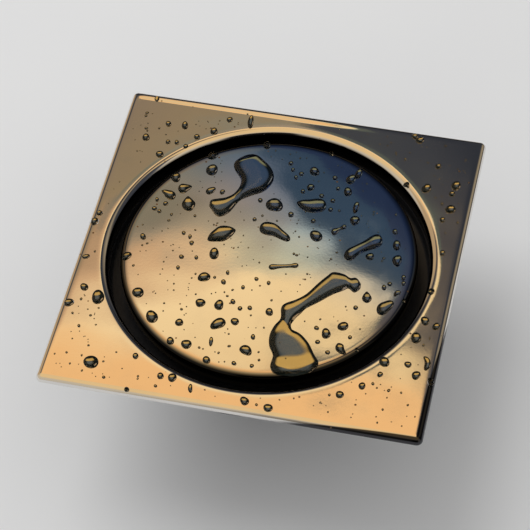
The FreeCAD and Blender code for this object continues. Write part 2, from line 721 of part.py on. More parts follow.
def make_valve_tube():
    """The valve's tube: flange, O-ring groove, waist, seat at the lower end and a spoked stem guide."""
    body = new_body("valve_tube")
    inner = UPPER_TUBE + " - core_wall"
    lower = LOWER_TUBE + " - core_wall"
    groove = RING_MIDDLE + " - ring_section - seal_fit"
    revolve(body, [
        (inner, FLANGE_UNDER + " + core_flange"),
        (RECESS + " - core_fit", FLANGE_UNDER + " + core_flange"),
        (RECESS + " - core_fit", FLANGE_UNDER),
        (UPPER_TUBE, FLANGE_UNDER),
        (UPPER_TUBE, WAIST),
        (LOWER_TUBE, GUIDE_TOP),
        (LOWER_TUBE, VALVE_SEAT),
        (lower, VALVE_SEAT),
        (lower, GUIDE_TOP),
        (inner, WAIST),
    ])
    before = body.Shape.Volume
    revolve(body, [
        (groove, RING_HEIGHT + " - groove_width / 2"),
        (UPPER_TUBE + " + ring_section", RING_HEIGHT + " - groove_width / 2"),
        (UPPER_TUBE + " + ring_section", RING_HEIGHT + " + groove_width / 2"),
        (groove, RING_HEIGHT + " + groove_width / 2"),
    ], kind="Groove")
    if body.Shape.Volume > before - NEAR:
        raise ValueError("valve_tube: the groove cuts nothing")
    spoke = pad(body, box_outline(
        new_sketch(body, "XZ_Plane"),
        "hub_radius - spoke_thickness / 2",
        lower + " + core_wall / 2",
        GUIDE_TOP + " - spoke_height",
        GUIDE_TOP,
    ), "spoke_thickness", centred=True)
    polar(body, [spoke], "spoke_count")
    revolve(body, [
        ("stem_radius + stem_fit", GUIDE_TOP),
        ("hub_radius", GUIDE_TOP),
        ("hub_radius", GUIDE_TOP + " - hub_height"),
        ("stem_radius + stem_fit", GUIDE_TOP + " - hub_height"),
    ])


def make_valve_seals():
    """The flat seal under the valve's flange, and the O-ring round its tube."""
    body = new_body("valve_flange_seal")
    inner = BORE + " + seal_fit"
    outer = RECESS + " - core_fit"
    revolve(body, [
        (inner, FLANGE_UNDER),
        (outer, FLANGE_UNDER),
        (outer, CORE_LEDGE),
        (inner, CORE_LEDGE),
    ])
    ring = new_body("valve_o_ring")
    section = circle(new_sketch(ring, "XZ_Plane"), RING_MIDDLE, RING_HEIGHT, "ring_section")
    made = feature(ring, "Revolution", section)
    made.ReferenceAxis = (section, ["V_Axis"])
    made.Angle = 360.0
    doc.recompute()


def make_stem():
    """The valve's stem: a rod with a groove for its clip near the upper end."""
    body = new_body("valve_stem")
    neck = "stem_radius - clip_groove"
    revolve(body, [
        ("0", STEM_TOP),
        ("stem_radius", STEM_TOP),
        ("stem_radius", CLIP_TOP),
        (neck, CLIP_TOP),
        (neck, PLATE_TOP),
        ("stem_radius", PLATE_TOP),
        ("stem_radius", STEM_END),
        ("0", STEM_END),
    ])


def make_cap():
    """The valve's cap with its boss and ribs, its seal, and the nut that holds both on the stem."""
    body = new_body("valve_cap")
    bore = "stem_radius + seal_fit"
    revolve(body, [
        (bore, CAP_TOP + " + cap_boss_rise"),
        ("cap_boss", CAP_TOP + " + cap_boss_rise"),
        ("cap_boss", CAP_TOP),
        (CAP, CAP_TOP),
        (CAP, CAP_TOP + " - cap_plate"),
        ("cap_boss", CAP_UNDER),
        (bore, CAP_UNDER),
    ])
    rib = pad(body, outline(new_sketch(body, "XZ_Plane"), [
        ("cap_boss - rib_root", CAP_TOP + " - cap_plate / 2"),
        (CAP + " - cap_rib_margin", CAP_TOP + " - cap_plate / 2"),
        (CAP + " - cap_rib_margin", CAP_TOP + " + cap_plate / 2"),
        ("cap_boss - rib_root", CAP_TOP + " + cap_boss_rise - cap_plate / 2"),
    ]), "core_wall", centred=True)
    polar(body, [rib], "cap_ribs")

    seal = new_body("valve_cap_seal")
    seal_inner = LOWER_TUBE + " - core_wall - seal_reach"
    revolve(seal, [
        (seal_inner, VALVE_SEAT),
        (CAP, VALVE_SEAT),
        (CAP, CAP_TOP),
        (seal_inner, CAP_TOP),
    ])
    nut = make_nut(
        "valve_nut", "0", "0", CAP_UNDER + " - cap_nut_height", "cap_nut_corner", "cap_nut_height", bore
    )
    subparts.append(nut)


def make_spring_plate():
    """The plate that the spring pushes up, with a lip inside the spring, and the clip that holds it."""
    body = new_body("spring_plate")
    bore = "stem_radius + seal_fit"
    lip = "spring_radius - wire_radius - stem_fit"
    revolve(body, [
        (bore, PLATE_TOP),
        ("retainer_radius", PLATE_TOP),
        ("retainer_radius", PLATE_UNDER),
        (lip, PLATE_UNDER),
        (lip, PLATE_UNDER + " - retainer_lip"),
        (bore, PLATE_UNDER + " - retainer_lip"),
    ])
    clip = new_body("stem_clip")
    ring = circle(new_sketch(clip, "XY_Plane", PLATE_TOP), "0", "0", "clip_radius")
    circle(ring, "0", "0", "stem_radius - clip_groove + seal_fit")
    pad(clip, ring, "clip_thickness")
    mouth = box_outline(
        new_sketch(clip, "XY_Plane", PLATE_TOP), "0", "clip_radius", "- clip_mouth / 2", "clip_mouth / 2"
    )
    pocket(clip, mouth, "clip_thickness", upwards=True)


def make_spring():
    """The spring that holds the valve shut: round wire swept along a helix from the guide to the plate."""
    low = size(GUIDE_TOP + " + wire_radius + seal_fit")
    high = size(PLATE_UNDER + " - wire_radius - seal_fit")
    pitch = (high - low) / size("spring_turns")
    mean = size("spring_radius")
    path = Part.makeHelix(pitch, high - low, mean)
    section = Part.Wire(Part.Circle(Vector(mean, 0, 0), Vector(0, 1, 0), size("wire_radius")).toShape())
    spring = doc.addObject("Part::Feature", "valve_spring")
    spring.Shape = Part.Wire(path).makePipeShell([section], True, True)
    spring.Placement = Placement(Vector(0, 0, low), Rotation())
    spring.Label = "valve_spring"
    subparts.append(spring)


def write_parts():
    """Stop on anything that failed to build, then write each sub-part to its own file."""
    doc.recompute()
    for item in doc.Objects:
        if "Invalid" in item.State or "Error" in item.State:
            raise ValueError("%s did not build: %s" % (item.Label, item.State))
    for part in subparts:
        if part.Shape.isNull() or not part.Shape.isValid() or not part.Shape.Solids:
            raise ValueError(part.Label + " is not a valid solid")
    os.makedirs("parts", exist_ok=True)
    for part in subparts:
        part.Shape.exportStep("parts/%s.step" % part.Label)
        print("%-20s %d solid(s) %9.1f mm3" % (part.Label, len(part.Shape.Solids), part.Shape.Volume))


make_frame()
make_cover()
make_stand()
make_feet()
make_drain_body()
make_gasket()
make_fasteners()
make_basket()
make_handle()
make_valve_tube()
make_valve_seals()
make_stem()
make_cap()
make_spring_plate()
make_spring()
write_parts()
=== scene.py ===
import json
import math

import bmesh
import bpy
import numpy as np
from mathutils import Matrix, Vector


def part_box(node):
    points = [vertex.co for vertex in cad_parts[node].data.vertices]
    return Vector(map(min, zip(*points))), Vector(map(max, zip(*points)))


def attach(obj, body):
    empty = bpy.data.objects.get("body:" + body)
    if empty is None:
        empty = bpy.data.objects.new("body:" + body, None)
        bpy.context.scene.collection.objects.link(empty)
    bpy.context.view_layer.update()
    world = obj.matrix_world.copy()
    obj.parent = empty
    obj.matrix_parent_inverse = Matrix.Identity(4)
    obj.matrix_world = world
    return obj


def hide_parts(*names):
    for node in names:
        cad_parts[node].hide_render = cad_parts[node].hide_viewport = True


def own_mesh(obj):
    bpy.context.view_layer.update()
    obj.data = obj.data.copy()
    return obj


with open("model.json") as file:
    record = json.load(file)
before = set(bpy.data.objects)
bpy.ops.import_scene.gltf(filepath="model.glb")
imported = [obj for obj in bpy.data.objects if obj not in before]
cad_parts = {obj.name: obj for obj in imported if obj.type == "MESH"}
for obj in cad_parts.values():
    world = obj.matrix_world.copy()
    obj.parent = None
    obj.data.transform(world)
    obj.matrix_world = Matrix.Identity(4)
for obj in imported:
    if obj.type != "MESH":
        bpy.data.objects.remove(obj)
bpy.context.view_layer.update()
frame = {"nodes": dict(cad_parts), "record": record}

# Square floor drain, wet, in metres. The plate's top is z = 0 and the origin is the middle of the cover.

MM = 0.001
DEGREE = math.degrees(1.0)

# Sheet metal, repeated from the part where a node's box does not give it.
HALF_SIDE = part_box("frame_plate")[1][0]
COVER_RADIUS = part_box("cover_disc")[1][0]
COVER_RIM = -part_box("cover_disc")[0][2]
COLLAR = -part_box("frame_plate")[0][2]
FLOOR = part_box("drain_body")[0][2]
SHEET = 1.5 * MM
OPENING = 64.0 * MM
OPENING_ROLL = 3.0 * MM
COVER_ROLL = 2.0 * MM
EDGE_ROLL = 2.2 * MM
SKIRT = 3.0 * MM
CORNER = 2.5 * MM
SHARPEST = 0.3 * MM         # corner radius of the rings that lie further in than the corner's own
BURR = 0.25 * MM            # rounding of a sheared sheet edge
MARGIN = 0.3 * MM           # width of the last ring of flat sheet beside a bend
EDGE_SHADE_FADE = 0.25 * MM       # half the width over which the painted shade at an edge fades in
COVER_LEAN = (-0.0113, -0.0057)     # slopes of the cover's mirror along x and y, since it rests a little askew

# Polishing draws the sheet down a little before each bend.
DRAW_WIDTH = 2.4 * MM
DRAW_TILT = math.radians(1.3)

# The pressed sheet stands up in a low ridge beside the bend of the far side, all but its right end.
RIDGE_CREST = 2.4 * MM      # distance of the crest from the frame's far edge
RIDGE_FOOT = 4.6 * MM       # distance at which the ridge dies away
RIDGE_HEIGHT = 0.21 * MM

# The valve's spring, repeated from the part.
SPRING_WIRE = 0.3 * MM      # radius of its wire
SPRING_TURNS = 5

# The photograph's camera, found from the corners of the frame.
PHOTO = 530         # side of the photograph in pixels
FOCAL = 2210.9      # focal length in pixels
CAMERA = Vector((140.42, -519.93, 689.8)) * MM
AIM = Vector((-0.34, -5.27, 0.0)) * MM
ROLL = math.radians(-3.29)


def camera_axes():
    """Right, up and forward of the camera: a level camera at its aim, turned by its roll about that line."""
    forward = (AIM - CAMERA).normalized()
    level = forward.cross(Vector((0, 0, 1))).normalized()
    upright = level.cross(forward)
    right = level * math.cos(ROLL) + upright * math.sin(ROLL)
    return right, right.cross(forward), forward


def make_camera():
    """The camera that took the photograph."""
    right, up, forward = camera_axes()
    data = bpy.data.cameras.new("camera")
    data.sensor_width = 36.0
    data.lens = data.sensor_width * FOCAL / PHOTO
    camera = bpy.data.objects.new("camera", data)
    turn = Matrix((right, up, -forward)).transposed().to_4x4()
    camera.matrix_world = Matrix.Translation(CAMERA) @ turn
    bpy.context.scene.collection.objects.link(camera)
    bpy.context.scene.camera = camera


def on_plate(pixels):
    """Where the sight lines through pixels (across, down) meet the plate z = 0: camera + t * direction."""
    right, up, forward = (np.array(axis) for axis in camera_axes())
    place = np.asarray(pixels, dtype=float)
    across = (place[..., :1] - PHOTO / 2) / FOCAL
    down = (place[..., 1:] - PHOTO / 2) / FOCAL
    ray = forward + across * right - down * up
    reach = -CAMERA.z / ray[..., 2:]
    return (np.array(CAMERA) + reach * ray)[..., :2]


# Meshes

def mesh_piece(name, points, faces, body="drain"):
    """A finished piece at the origin from points and faces, smooth, doubles merged, normals outwards."""
    mesh = bpy.data.meshes.new(name)
    mesh.from_pydata(points.reshape(-1, 3), [], faces)
    work = bmesh.new()
    work.from_mesh(mesh)
    bmesh.ops.remove_doubles(work, verts=work.verts, dist=1e-7)
    bmesh.ops.dissolve_degenerate(work, edges=work.edges, dist=1e-8)
    bmesh.ops.recalc_face_normals(work, faces=work.faces)
    work.to_mesh(mesh)
    work.free()
    mesh.shade_smooth()
    piece = bpy.data.objects.new(name, mesh)
    bpy.context.scene.collection.objects.link(piece)
    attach(piece, body)
    return piece


def closed_grid(rows, columns, blocks=1):
    """Quads of blocks of a grid that closes on itself both ways: (r, c), (r, c+1), (r+1, c+1), (r+1, c)."""
    row, column = np.meshgrid(np.arange(rows), np.arange(columns), indexing="ij")
    after, beside = (row + 1) % rows, (column + 1) % columns
    quads = np.stack([
        row * columns + column,
        row * columns + beside,
        after * columns + beside,
        after * columns + column,
    ], axis=-1).reshape(-1, 4)
    shift = np.arange(blocks)[:, None, None] * rows * columns
    return (quads[None] + shift).reshape(-1, 4)


def bend(middle, radius, start, end, steps):
    """Points of an arc in a section: middle + radius * (cos, sin) of an angle from start to end."""
    angle = np.radians(np.linspace(start, end, steps))
    return np.stack([middle[0] + radius * np.cos(angle), middle[1] + radius * np.sin(angle)], axis=-1)


def square_rings(inset, side_steps=96, corner_steps=14):
    """Rings inside the frame's outline, each a straight side and a rounded corner, four times over.

    The corner's radius is the outline's less the inset, but never quite sharp; a side point is
    (half side - inset, share * reach) and a corner point is reach + radius * (cos, sin).
    """
    inset = np.asarray(inset)[:, None]
    radius = np.maximum(CORNER - inset, SHARPEST)
    reach = HALF_SIDE - inset - radius
    share = np.linspace(-1.0, 1.0, side_steps, endpoint=False)
    angle = np.linspace(0.0, np.pi / 2, corner_steps, endpoint=False)
    side = np.stack([np.broadcast_to(reach + radius, (len(inset), side_steps)), reach * share], axis=-1)
    corner = reach[..., None] + radius[..., None] * np.stack([np.cos(angle), np.sin(angle)], axis=-1)
    quarter = np.concatenate([side, corner], axis=1)
    turn = np.arange(4) * np.pi / 2
    spin = np.stack([np.cos(turn), -np.sin(turn), np.sin(turn), np.cos(turn)], axis=-1).reshape(4, 2, 2)
    return np.einsum("kij,rnj->rkni", spin, quarter).reshape(len(inset), -1, 2)


def drawn_edge(radius, steps=15, lead=8):
    """Way still to go to the wall, and height, from flat sheet over the polish's draw and round the bend.

    The sheet's tilt grows as the square of the way over the draw, then evenly round the bend to a quarter
    turn; the points are the running sums of the cosine and sine of the tilt.
    """
    bend_length = radius * (math.pi / 2 - DRAW_TILT)
    way = np.concatenate([
        np.linspace(0.0, DRAW_WIDTH, lead, endpoint=False),
        DRAW_WIDTH + np.linspace(0.0, bend_length, steps),
    ])
    tilt = np.where(
        way < DRAW_WIDTH,
        DRAW_TILT * (way / DRAW_WIDTH) ** 2,
        DRAW_TILT + (way - DRAW_WIDTH) / radius,
    )
    step, mean_tilt = np.diff(way), (tilt[1:] + tilt[:-1]) / 2
    across = np.concatenate([[0.0], np.cumsum(step * np.cos(mean_tilt))])
    height = -np.concatenate([[0.0], np.cumsum(step * np.sin(mean_tilt))])
    return np.stack([across[-1] - across, height], axis=-1)


def smooth_step(value, low, high):
    """0 below low, 1 above high, and 3 s^2 - 2 s^3 of the share s between."""
    share = np.clip((value - low) / (high - low), 0.0, 1.0)
    return share * share * (3.0 - 2.0 * share)


def ridge(points):
    """Height of the ridge: a cosine wave over the distance from the far edge, faded out along the side."""
    x, inset = points[..., 0] / MM, HALF_SIDE - points[..., 1]
    share = smooth_step(x, -74.0, -70.0) * smooth_step(-x, -34.0, 12.0)
    span = np.where(inset > RIDGE_CREST, RIDGE_FOOT - RIDGE_CREST, RIDGE_CREST)
    wave = 0.5 + 0.5 * np.cos(np.pi * np.clip((inset - RIDGE_CREST) / span, -1.0, 1.0))
    return RIDGE_HEIGHT * share * wave


def make_frame_plate():
    """The frame: rings of the opening's section on circles, then rings of the skirt's section.

    A ring on a circle is radius * direction, so that its points lie opposite those of the square rings.
    """
    outline = square_rings([0.0])[0]
    direction = outline / np.linalg.norm(outline, axis=1, keepdims=True)
    roll = (OPENING + OPENING_ROLL, -OPENING_ROLL)
    edge = (EDGE_ROLL, -EDGE_ROLL)
    end = OPENING + SHEET - BURR
    mouth = drawn_edge(OPENING_ROLL)[::-1] + (OPENING, 0.0)
    brink = drawn_edge(EDGE_ROLL, 13)
    top_circles = np.concatenate([bend((OPENING + BURR, BURR - COLLAR), BURR, 270, 180, 4), mouth])
    top_square = np.concatenate([
        np.stack([np.linspace(RIDGE_FOOT + MARGIN, brink[0][0] + MARGIN, 4), np.zeros(4)], axis=-1),
        brink,
        bend((BURR, BURR - SKIRT), BURR, 180, 270, 4),
    ])
    under_square = np.concatenate([
        bend((SHEET - BURR, BURR - SKIRT), BURR, 270, 360, 4),
        bend(edge, EDGE_ROLL - SHEET, 180, 90, 7),
        [(EDGE_ROLL + MARGIN, -SHEET)],
    ])
    under_circles = np.concatenate([
        [(OPENING + OPENING_ROLL + MARGIN, -SHEET)],
        bend(roll, OPENING_ROLL - SHEET, 90, 180, 9),
        bend((end, BURR - COLLAR), BURR, 360, 270, 4),
    ])

    def ring_points(flat, section):
        """Points of rings from their places in plan and the section's heights."""
        return np.concatenate([flat, np.broadcast_to(section[:, None, 1:], flat.shape[:2] + (1,))], axis=-1)

    def circles(section):
        """Rings of radius * direction at the section's heights."""
        return ring_points(section[:, None, :1] * direction[None], section)

    def squares(section):
        """Rings of the square at the section's insets and heights."""
        return ring_points(square_rings(section[:, 0]), section)

    top = squares(top_square)
    top[..., 2] += ridge(top)
    rings = np.concatenate([circles(top_circles), top, squares(under_square), circles(under_circles)])
    return mesh_piece("polished_frame", rings, closed_grid(*rings.shape[:2]))


def make_cover_disc():
    """The cover: its section (radius, height) turned about the upright axis."""
    roll = (COVER_RADIUS - COVER_ROLL, -COVER_ROLL)
    flat_end = roll[0] - MARGIN
    brink = drawn_edge(COVER_ROLL, 13) * (-1.0, 1.0) + (COVER_RADIUS, 0.0)
    section = np.concatenate([
        [(0.0, 0.0), (brink[0][0] / 2, 0.0)],
        brink,
        bend((COVER_RADIUS - BURR, BURR - COVER_RIM), BURR, 0, -90, 4),
        bend((COVER_RADIUS - SHEET + BURR, BURR - COVER_RIM), BURR, -90, -180, 4),
        bend(roll, COVER_ROLL - SHEET, 0, 90, 6),
        [(flat_end, -SHEET), (flat_end / 2, -SHEET), (0.0, -SHEET)],
    ])
    angle = np.linspace(0.0, 2 * np.pi, 288, endpoint=False)
    rings = np.stack([
        section[:, None, 0] * np.cos(angle),
        section[:, None, 0] * np.sin(angle),
        np.broadcast_to(section[:, None, 1], (len(section), len(angle))),
    ], axis=-1)
    return mesh_piece("polished_cover", rings, closed_grid(*rings.shape[:2]))


def make_closing_spring(steps=200, around=12):
    """The valve's spring: a round wire carried along a helix.

    The line is (mean cos t, mean sin t, rise * t), and the wire's ring about it is cos v outwards and sin v along
    the third direction, square to both the line and outwards. The end rings shrink to points.
    """
    low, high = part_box("valve_spring")
    mean = high.x - SPRING_WIRE
    whole = 2 * np.pi * SPRING_TURNS
    turn = np.concatenate([[0.0], np.linspace(0.0, whole, steps), [whole]])[:, None]
    rise = (high.z - low.z - 2 * SPRING_WIRE) / whole
    level = np.zeros_like(turn)
    outwards = np.concatenate([np.cos(turn), np.sin(turn), level], axis=1)
    ahead = np.concatenate([-mean * np.sin(turn), mean * np.cos(turn), rise + level], axis=1)
    upwards = np.cross(outwards, ahead / np.linalg.norm(ahead, axis=1, keepdims=True))
    line = mean * outwards + np.concatenate([level, level, low.z + SPRING_WIRE + rise * turn], axis=1)
    wire = np.full(len(turn), SPRING_WIRE)
    wire[[0, -1]] = 0.0
    angle = np.linspace(0.0, 2 * np.pi, around, endpoint=False)[:, None]
    ring = np.cos(angle) * outwards[:, None] + np.sin(angle) * upwards[:, None]
    points = line[:, None] + wire[:, None, None] * ring
    return mesh_piece("closing_spring", points, tube_faces(1, len(turn), around))


# Water: what the photograph shows lying on the steel, placed by pixels of the photograph.

WATER_SINK = 0.03 * MM      # water starts this far under the steel's face
WATER_DEPTH = 2.3 * MM      # deepest that water stands on steel
RIM_WIDTH = 2.6 * MM        # width of a puddle's rounded rim
STEEPNESS = 0.85            # height of a small drop as a share of its half width
FLATTENING = 0.9            # how fast a wide puddle's top turns flat

# Banks of the two puddles, in matching pairs from tip to tip, and the tips. The swell gives the shares of
# the way between which the water piles up towards its lower end, and by how much.
UPPER_PUDDLE = {
    "tips": [(248, 157.3), (209, 206)],
    "swell": (0.60, 0.90, 0.15),
    "left": [
        (239, 160), (234, 164), (235, 170), (239, 176), (241, 181), (239, 188), (233, 195), (226, 198.5),
        (218, 199.5), (211, 201),
    ],
    "right": [
        (257, 156), (264, 161), (271, 168), (274, 176), (272, 183), (265, 190), (252, 194), (240, 200),
        (229, 212), (218, 215.5),
    ],
}
LOWER_PUDDLE = {
    "tips": [(361, 284), (293, 376.6)],
    "swell": (0.84, 0.93, 0.36),
    "left": [
        (356, 278.5), (350, 278.5), (343.5, 274.7), (333, 272.8), (327, 276.6), (318, 284), (306.5, 294.4),
        (296, 300), (285, 304), (281, 308.5), (280.4, 318.7), (274, 326.3), (269.5, 335.3), (269, 345.5),
        (272.7, 355.7), (270, 367), (276, 374.3),
    ],
    "right": [
        (360, 288.7), (354.4, 292), (348.6, 288), (343.5, 290), (332, 294.4), (319, 301.5), (306.5, 307.8),
        (301, 313), (297, 316.5), (294, 320), (291, 325), (293, 331), (301.4, 335.3), (309, 344),
        (314, 354.4), (318.5, 364), (311, 372),
    ],
}

# Drops: middle across and down, length and width, all in pixels, turn in degrees (up to the right), bend.
DROPS = [
    (274.5, 205, 16, 13, -10, 0), (436.2, 326.6, 8, 7, 0, 0), (431, 291.6, 7, 6, 0, 0),
    (316, 236, 13, 10, -30, 0), (91, 362, 15, 12, 0, 0),
    (212, 170, 12, 10, 10, 0), (384, 287.6, 5, 5, 0, 0), (389.7, 284.1, 5, 4, 0, 0),
    (266.9, 145.3, 8, 7, 0, 0), (176, 177.6, 10, 8, 0, 0), (403.5, 277.8, 5, 5, 0, 0),
    (138, 292.5, 12, 9, 10, 0), (151.8, 316.7, 12, 12, 0, 0), (218, 323.5, 15, 10, 25, 0.1),
    (219, 305, 10, 9, 0, 0), (204, 277, 13, 8, 20, 0), (98, 297, 14, 12, 40, 0),
    (250.7, 122, 13, 6, 84, 0), (351, 179.5, 11, 8, 20, 0), (358.7, 174, 10, 7, 60, 0),
    (347.8, 192, 9, 8, 0, 0), (356, 207.6, 12, 6, 75, 0), (354.8, 220.7, 11, 8, 25, 0),
    (396.7, 245.5, 10, 8, 80, 0), (397, 260.8, 12, 9, 70, 0.1), (369.9, 256.7, 8, 7, 0, 0),
    (343, 326.3, 11, 8, 10, 0), (326, 333.6, 10, 9, 0, 0), (403.5, 283.5, 5, 4, 0, 0),
    (245.9, 350, 13, 9, -20, 0.25), (186.3, 344.3, 10, 9, 0, 0), (260.3, 200.4, 5, 4, 0, 0),
    (170.3, 341, 8, 7, 0, 0), (211, 341.5, 10, 4, 85, 0), (206.4, 360, 8, 7, 0, 0),
    (214.1, 253.6, 12, 9, 80, 0), (200.3, 302.8, 11, 7, 10, 0), (416, 338, 11, 10, 0, 0),
    (384.3, 362, 11, 9, -10, 0), (416, 375.4, 9, 8, 0, 0), (302.9, 191.5, 5, 4, 0, 0),
    (425, 321, 9, 8, 0, 0), (362, 386, 7, 7, 0, 0), (339.7, 394.6, 8, 7, 0, 0),
    (244.4, 401, 9, 8, 0, 0), (268, 408, 9, 8, 0, 0), (172.2, 377.6, 9, 8, 0, 0),
    (160.4, 375.9, 7, 6, 0, 0), (135.5, 356, 6, 6, 0, 0), (190.3, 388.4, 8, 5, 85, 0),
    (126.6, 389.5, 5, 5, 0, 0), (68.9, 302.4, 10, 7, 0, 0), (84.2, 287, 8, 7, 0, 0),
    (126.6, 256, 10, 7, 20, 0), (143, 236.6, 6, 6, 0, 0), (94.7, 221.4, 8, 7, 0, 0),
    (99.5, 213, 6, 5, 0, 0), (86, 256.5, 8, 4, 10, 0), (159.8, 154.4, 8, 6, 15, 0),
    (146, 137.4, 8, 6, 15, 0), (168.5, 124, 6, 5, 0, 0), (185, 125.5, 8, 6, 80, 0),
    (157, 99, 5, 5, 0, 0), (214, 131.4, 8, 6, 10, 0), (197, 137, 6, 5, 0, 0),
    (229.7, 119.8, 6, 5, 0, 0), (314.5, 171.6, 10, 8, 0, 0), (310.7, 187.5, 8, 6, 0, 0),
    (426.5, 188.7, 10, 8, 10, 0), (456, 186, 10, 8, 20, 0), (452, 194, 6, 5, 0, 0),
    (450.6, 209.5, 10, 8, 10, 0), (442.4, 220, 6, 5, 0, 0), (438.4, 166.5, 6, 5, 0, 0),
    (414.8, 136.4, 6, 5, 0, 0), (420, 140.3, 8, 6, 10, 0), (406.5, 184.8, 6, 5, 0, 0),
    (442.4, 253.2, 6, 5, 0, 0), (395, 232, 6, 5, 0, 0), (321.6, 196, 5, 4, 0, 0),
    (407.9, 364.6, 7, 6, 0, 0), (380, 374.5, 6, 5, 0, 0), (269.3, 312, 8, 7, 0, 0),
    (234.8, 321.6, 8, 7, 0, 0), (179.2, 322.4, 8, 7, 0, 0), (210.6, 190.7, 10, 6, 30, 0),
    (222.4, 192, 6, 4, 20, 0), (232.9, 301.7, 5, 5, 0, 0), (240, 308.5, 5, 4, 0, 0),
    (249.8, 308, 5, 4, 0, 0), (253, 337, 5, 5, 0, 0), (251.7, 365.9, 4, 4, 0, 0),
    (233.9, 363.3, 5, 4, 0, 0), (223.5, 282, 5, 5, 0, 0), (227.7, 272.7, 4, 4, 0, 0),
    (243, 287.4, 4, 4, 0, 0), (256.4, 279, 4, 4, 0, 0), (268.6, 283, 4, 4, 0, 0),
    (181.4, 256.8, 5, 4, 0, 0), (178, 267.6, 4, 4, 0, 0), (191.6, 243, 5, 4, 0, 0),
    (190, 236.7, 4, 4, 0, 0), (183.7, 233, 4, 4, 0, 0), (290.9, 163.5, 5, 4, 0, 0),
    (293, 170, 4, 4, 0, 0), (301.4, 174, 5, 4, 0, 0), (296, 177.6, 4, 4, 0, 0),
    (290.9, 214.6, 6, 5, 0, 0), (254.6, 219.4, 4, 4, 0, 0), (313.2, 221, 5, 4, 0, 0),
    (335, 178, 5, 4, 0, 0), (330.6, 209.8, 5, 4, 0, 0), (355.6, 307.8, 5, 4, 0, 0),
    (332.8, 200.9, 5, 4, 0, 0), (338.1, 188.8, 4, 4, 0, 0), (403.5, 300.8, 4, 4, 0, 0),
    (316.5, 328, 5, 4, 0, 0), (317.6, 342, 5, 4, 0, 0), (350, 337.4, 4, 4, 0, 0),
    (327.6, 352.5, 5, 4, 0, 0), (356.7, 349.7, 4, 4, 0, 0), (168, 142, 5, 4, 0, 0),
    (176.8, 142.5, 5, 4, 0, 0), (185.7, 146.3, 5, 4, 0, 0), (331.4, 154, 5, 4, 0, 0),
    (154.5, 208.5, 5, 4, 0, 0), (159.4, 211.2, 4, 4, 0, 0), (157.1, 199.6, 4, 4, 0, 0),
    (165.6, 203.6, 5, 4, 0, 0), (196.3, 257.6, 4, 4, 0, 0),
]

# Irregular drops: places along the middle line, across and down, and half widths there, all in pixels.
RUNS = [
    [(178, 189.5, 3.4), (183, 188.6, 4.4), (188, 187.4, 2.7), (192, 186.4, 1.3)],
    [(161.6, 190.6, 1.1), (165.5, 192.5, 2.8), (170.5, 195.2, 4.3), (175.8, 195, 3.2)],
    [(188, 196.2, 2.2), (188.2, 200, 4.6), (188.6, 204.5, 7.0), (190, 210.6, 5.2)],
    [(207.5, 240, 2.4), (214, 236.5, 5.0), (222, 233.6, 7.2), (230, 231.5, 5.0), (235.8, 230.2, 2.0)],
    [(259.5, 230, 4.6), (266, 228.5, 6.2), (274, 230, 5.8), (281, 234.5, 4.4), (290, 240, 3.4)],
    [(296.6, 202.7, 2.0), (303, 204.6, 4.6), (310, 206, 6.0), (318, 205.6, 6.4), (326.4, 205.2, 5.6)],
    [(331.4, 233.3, 2.6), (334.6, 231.7, 3.1), (339.5, 229, 1.4), (344.2, 226.9, 2.2), (346.4, 225.8, 1.8)],
    [(344.2, 257.7, 4.2), (350.2, 254.5, 5.8), (358, 249.5, 4.6), (366, 245.8, 4.9), (374, 242.2, 6.3),
     (382, 238.6, 6.6)],
    [(268.6, 267.2, 2.0), (272.5, 267, 2.5), (280, 266.4, 1.7), (290, 265.9, 1.6), (295, 265.5, 2.3),
     (298.6, 265.3, 1.8)],
    [(377.4, 313, 4.6), (382.5, 309, 5.8), (387.5, 305.8, 4.8), (393.6, 302.2, 3.4)],
    [(367, 291.4, 1.5), (366.8, 295, 3.6), (366.8, 298.5, 5.0), (366.8, 302.6, 4.2)],
    [(337.8, 343.4, 3.0), (339.5, 347.4, 4.6), (342, 351, 3.2), (346, 354.2, 1.4)],
    [(423.8, 356.6, 1.6), (427, 360.5, 2.8), (427.5, 365, 3.2), (424.8, 370.4, 2.0)],
    [(394.2, 296.4, 1.5), (396.6, 293.2, 2.1), (400.8, 292.2, 1.8)],
    [(429, 377.8, 2.2), (430.6, 382.5, 3.2), (430.4, 386.8, 2.2)],
    [(207.2, 157.8, 1.6), (212.5, 155.8, 3.4), (218.4, 153.8, 2.0)],
]


def smooth_run(points, steps):
    """A Catmull-Rom curve through points, with its ends held, at evenly spread places."""
    knots = np.concatenate([[2 * points[0] - points[1]], points, [2 * points[-1] - points[-2]]])
    place = np.linspace(0, len(points) - 1, steps)
    first = np.minimum(place.astype(int), len(points) - 2)
    share = (place - first)[:, None]
    before, start, end, after = (knots[first + offset] for offset in range(4))
    return 0.5 * (
        2 * start + (end - before) * share
        + (2 * before - 5 * start + 4 * end - after) * share ** 2
        + (3 * start - before - 3 * end + after) * share ** 3
    )


def between_banks(left, right, around, swell=1.0):
    """Water from bank to bank: middle + half * cos(v) across, depth * (1 - |cos v|^power)^(1/2) high.

    Power grows with the width, so that a narrow arm is a round ridge and a wide foot has a flatter top.
    """
    middle, half = (left + right) / 2, (right - left) / 2
    width = np.linalg.norm(half, axis=1)
    depth = swell * WATER_DEPTH * np.tanh(STEEPNESS * width / WATER_DEPTH)
    power = 2.0 + FLATTENING * np.clip(width / RIM_WIDTH - 1.0, 0.0, None)
    angle = np.linspace(0.0, 2 * np.pi, around, endpoint=False)
    across = np.cos(angle)
    rise = np.sqrt(np.clip(1 - np.abs(across)[None] ** power[:, None], 0.0, None)) * depth[:, None]
    height = np.where(np.sin(angle)[None] >= 0, rise, 0.0) - WATER_SINK
    flat = middle[:, None] + across[None, :, None] * half[:, None]
    return np.concatenate([flat, height[..., None]], axis=-1)


